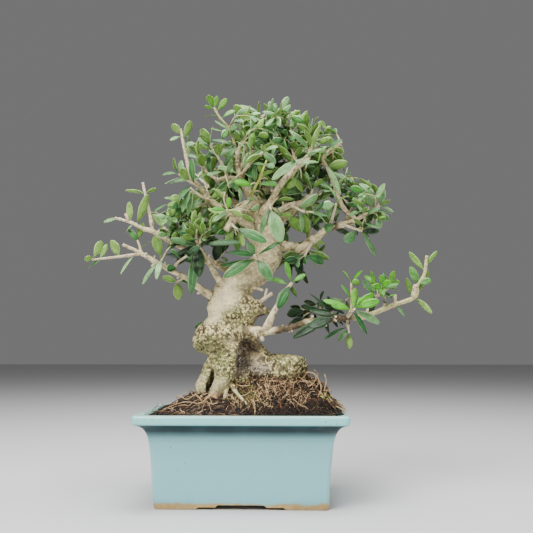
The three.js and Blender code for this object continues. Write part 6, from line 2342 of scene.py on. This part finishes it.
@dataclass
class Tree:
    """The whole olive tree: trunk, stems and leaves."""

    skeleton: Skeleton = field(default_factory=lambda: Skeleton(LIMBS))
    rule: GrowthRule = field(default_factory=GrowthRule)

    def stems(self, bench: Bench) -> list[GrowingStem]:
        """Returns the stems with the leaves of the solid model.

        Args:
            bench: where the pieces are finished.
        """
        made = []
        for index, plan in enumerate(SPRAYS):
            stem = GrowingStem(plan, self.skeleton)
            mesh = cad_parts[f"spray_{plan.name}"].data
            tips = KDTree(len(mesh.vertices))
            for vert in mesh.vertices:
                tips.insert((vert.co - bench.shift) / MM, vert.index)
            tips.balance()
            wanted = stem.settle(self.rule, index, tips)
            young = YOUNG_TIPS.get(plan.name, 0.0)
            for leaf in stem.leaves:
                near_end = 1 - (leaf.root - stem.way.points[-1]).length / stem.way.total
                raised = ease(leaf.along.z / leaf.along.length, -0.3, 0.3)
                leaf.youth = young * max(ease(near_end, 0.1, 0.9), ease(young, 0.9, 1.0)) * raised
            LOG.info("%s: %d of %d leaves", plan.name, len(stem.leaves), wanted)
            made.append(stem)
        return made

    @staticmethod
    def lighten(stems: Sequence[GrowingStem]) -> None:
        """Marks each leaf by how open it stands to the sky.

        Args:
            stems: the leafy stems.
        """
        leaves = [(stem.plan.name, leaf) for stem in stems for leaf in stem.leaves]
        tree = KDTree(len(leaves))
        middles = [leaf.middle() for _, leaf in leaves]
        for index, middle in enumerate(middles):
            tree.insert(middle, index)
        tree.balance()
        for (name, leaf), middle in zip(leaves, middles):
            near = [place for place, _, _ in tree.find_range(middle, 24)]
            mean = sum(near, Vector()) / len(near) - middle
            open_sky = ease((mean.length - 1.2 * mean.z) / 24, -0.05, 0.38)
            leaf.light = max(open_sky, 0.9 - ease(len(near), 5, 14)) * SHADED_STEMS.get(name, 1.0)
            leaf.light = max(leaf.light, 0.68 * ease(-middle.y, -8, 22) * ease(middle.z, 240, 275))
            leaf.light **= 1.7 - 0.9 * ease(middle.z, 205, 255)
            leaf.light *= 1 - max(hollow.weight(middle) for hollow in HOLLOWS)
            leaf.light = max(leaf.light, 0.9 * leaf.youth)

    def build(self, bench: Bench, growth: ExtraGrowth) -> None:
        """Builds the tree.

        Args:
            bench: where the pieces are finished.
            growth: rule of the side shoots.
        """
        stems = self.stems(bench)
        solid = sum(len(stem.leaves) for stem in stems)
        added = growth.grow(stems, self.skeleton)
        LOG.info("%d leaves of the solid model, %d more", solid, added)
        self.lighten(stems)
        twig = TwigFinish().material()
        finishes = [LeafFinish().material(), twig]
        Trunk().build(bench, stems, twig)
        blades = [BladeTemplate(0.1), BladeTemplate(0.45), BladeTemplate(0.85)]
        for index, stem in enumerate(stems):
            stem.build(bench, blades, finishes, index)
        dry = Leaf(Vector((-46.5, -9, 152)), Vector((7, -2, 6.5)), 2.6, Vector((0.3, -1, 0.5)))
        work = Weaver()
        work.stamp(blades[1].mesh, dry.placer(Stream(5)), (0.1, 0.2, 0.1, 1))
        bench.piece("burl_leaf", work.mesh("burl_leaf"), finishes[:1])


# --------------------------------------------------------------------------
# Studio
# --------------------------------------------------------------------------


@dataclass(frozen=True)
class Lamp:
    """A soft studio lamp.

    Args:
        name: plain name.
        place: its place, in metres about the middle of the pot.
        size: side of its square face, in metres.
        power: its power, in watts.
    """

    name: str
    place: Place
    size: float
    power: float


@dataclass
class Studio:
    """Camera, floor and soft lights, placed about the middle of the pot, in metres."""

    eye: Place = (0.0389, -0.6378, 0.1319)
    yaw: float = math.radians(-1.684)
    pitch: float = math.radians(7.06)
    lens: float = 45.93
    target: Place = (0.0, 0.0, 0.19)
    lamps: tuple[Lamp, ...] = (
        Lamp("key", (-0.50, -0.70, 1.10), 0.7, 25.5),
        Lamp("top", (0.15, -0.05, 1.25), 0.8, 24.0),
        Lamp("fill", (0.95, -0.75, 0.45), 0.9, 3.5),
    )
    world: Colour = (0.80, 0.80, 0.80, 1)
    world_strength: float = 0.22

    def build(self, shift: Vector) -> None:
        """Builds the studio.

        Args:
            shift: place of the middle of the pot, in metres.
        """
        lens = bpy.data.cameras.new("camera")
        lens.lens, lens.sensor_width = self.lens, 36.0
        lens.clip_start, lens.clip_end = 0.01, 30.0
        camera = bpy.data.objects.new("camera", lens)
        camera.location = shift + Vector(self.eye)
        camera.rotation_euler = (math.pi / 2 + self.pitch, 0.0, -self.yaw)
        bpy.context.scene.collection.objects.link(camera)
        bpy.context.scene.camera = camera
        for lamp in self.lamps:
            light = bpy.data.lights.new(lamp.name, "AREA")
            light.shape, light.size, light.energy = "SQUARE", lamp.size, lamp.power
            holder = bpy.data.objects.new(lamp.name, light)
            holder.location = shift + Vector(lamp.place)
            aim = Vector(self.target) - Vector(lamp.place)
            holder.rotation_euler = aim.to_track_quat("-Z", "Y").to_euler()
            bpy.context.scene.collection.objects.link(holder)
        sky = bpy.data.worlds.new("studio")
        sky.use_nodes = True
        back = sky.node_tree.nodes["Background"]
        back.inputs["Color"].default_value = self.world
        back.inputs["Strength"].default_value = self.world_strength
        bpy.context.scene.world = sky
        bm = bmesh.new()
        bmesh.ops.create_grid(bm, x_segments=1, y_segments=1, size=6.0)
        bmesh.ops.translate(bm, verts=list(bm.verts), vec=(0, 0, -0.0003))
        mesh = bpy.data.meshes.new("floor")
        bm.to_mesh(mesh)
        bm.free()
        mesh.materials.append(FloorFinish().material())
        floor = bpy.data.objects.new("floor", mesh)
        bpy.context.scene.collection.objects.link(floor)
        floor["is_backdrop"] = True


def main() -> None:
    """Builds the potted tree and its studio."""
    logging.basicConfig(level=logging.INFO, format="%(message)s")
    noise.seed_set(BARK_SEED)
    solid_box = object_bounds()
    low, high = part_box("pot")
    shift = Vector(((low.x + high.x) / 2, (low.y + high.y) / 2, 0.0))
    bench = Bench(shift)
    Pot().build(bench)
    DrainScreens().dress()
    SoilBed().build(bench)
    corners = [(Vector(corner) - shift) / MM for corner in solid_box]
    Tree().build(bench, ExtraGrowth(seed=60617, reach=28.0, gap=4.2, low=corners[0], high=corners[1]))
    Studio().build(shift)
    LOG.info("studio ready")


if __name__ == "__main__":
    main()
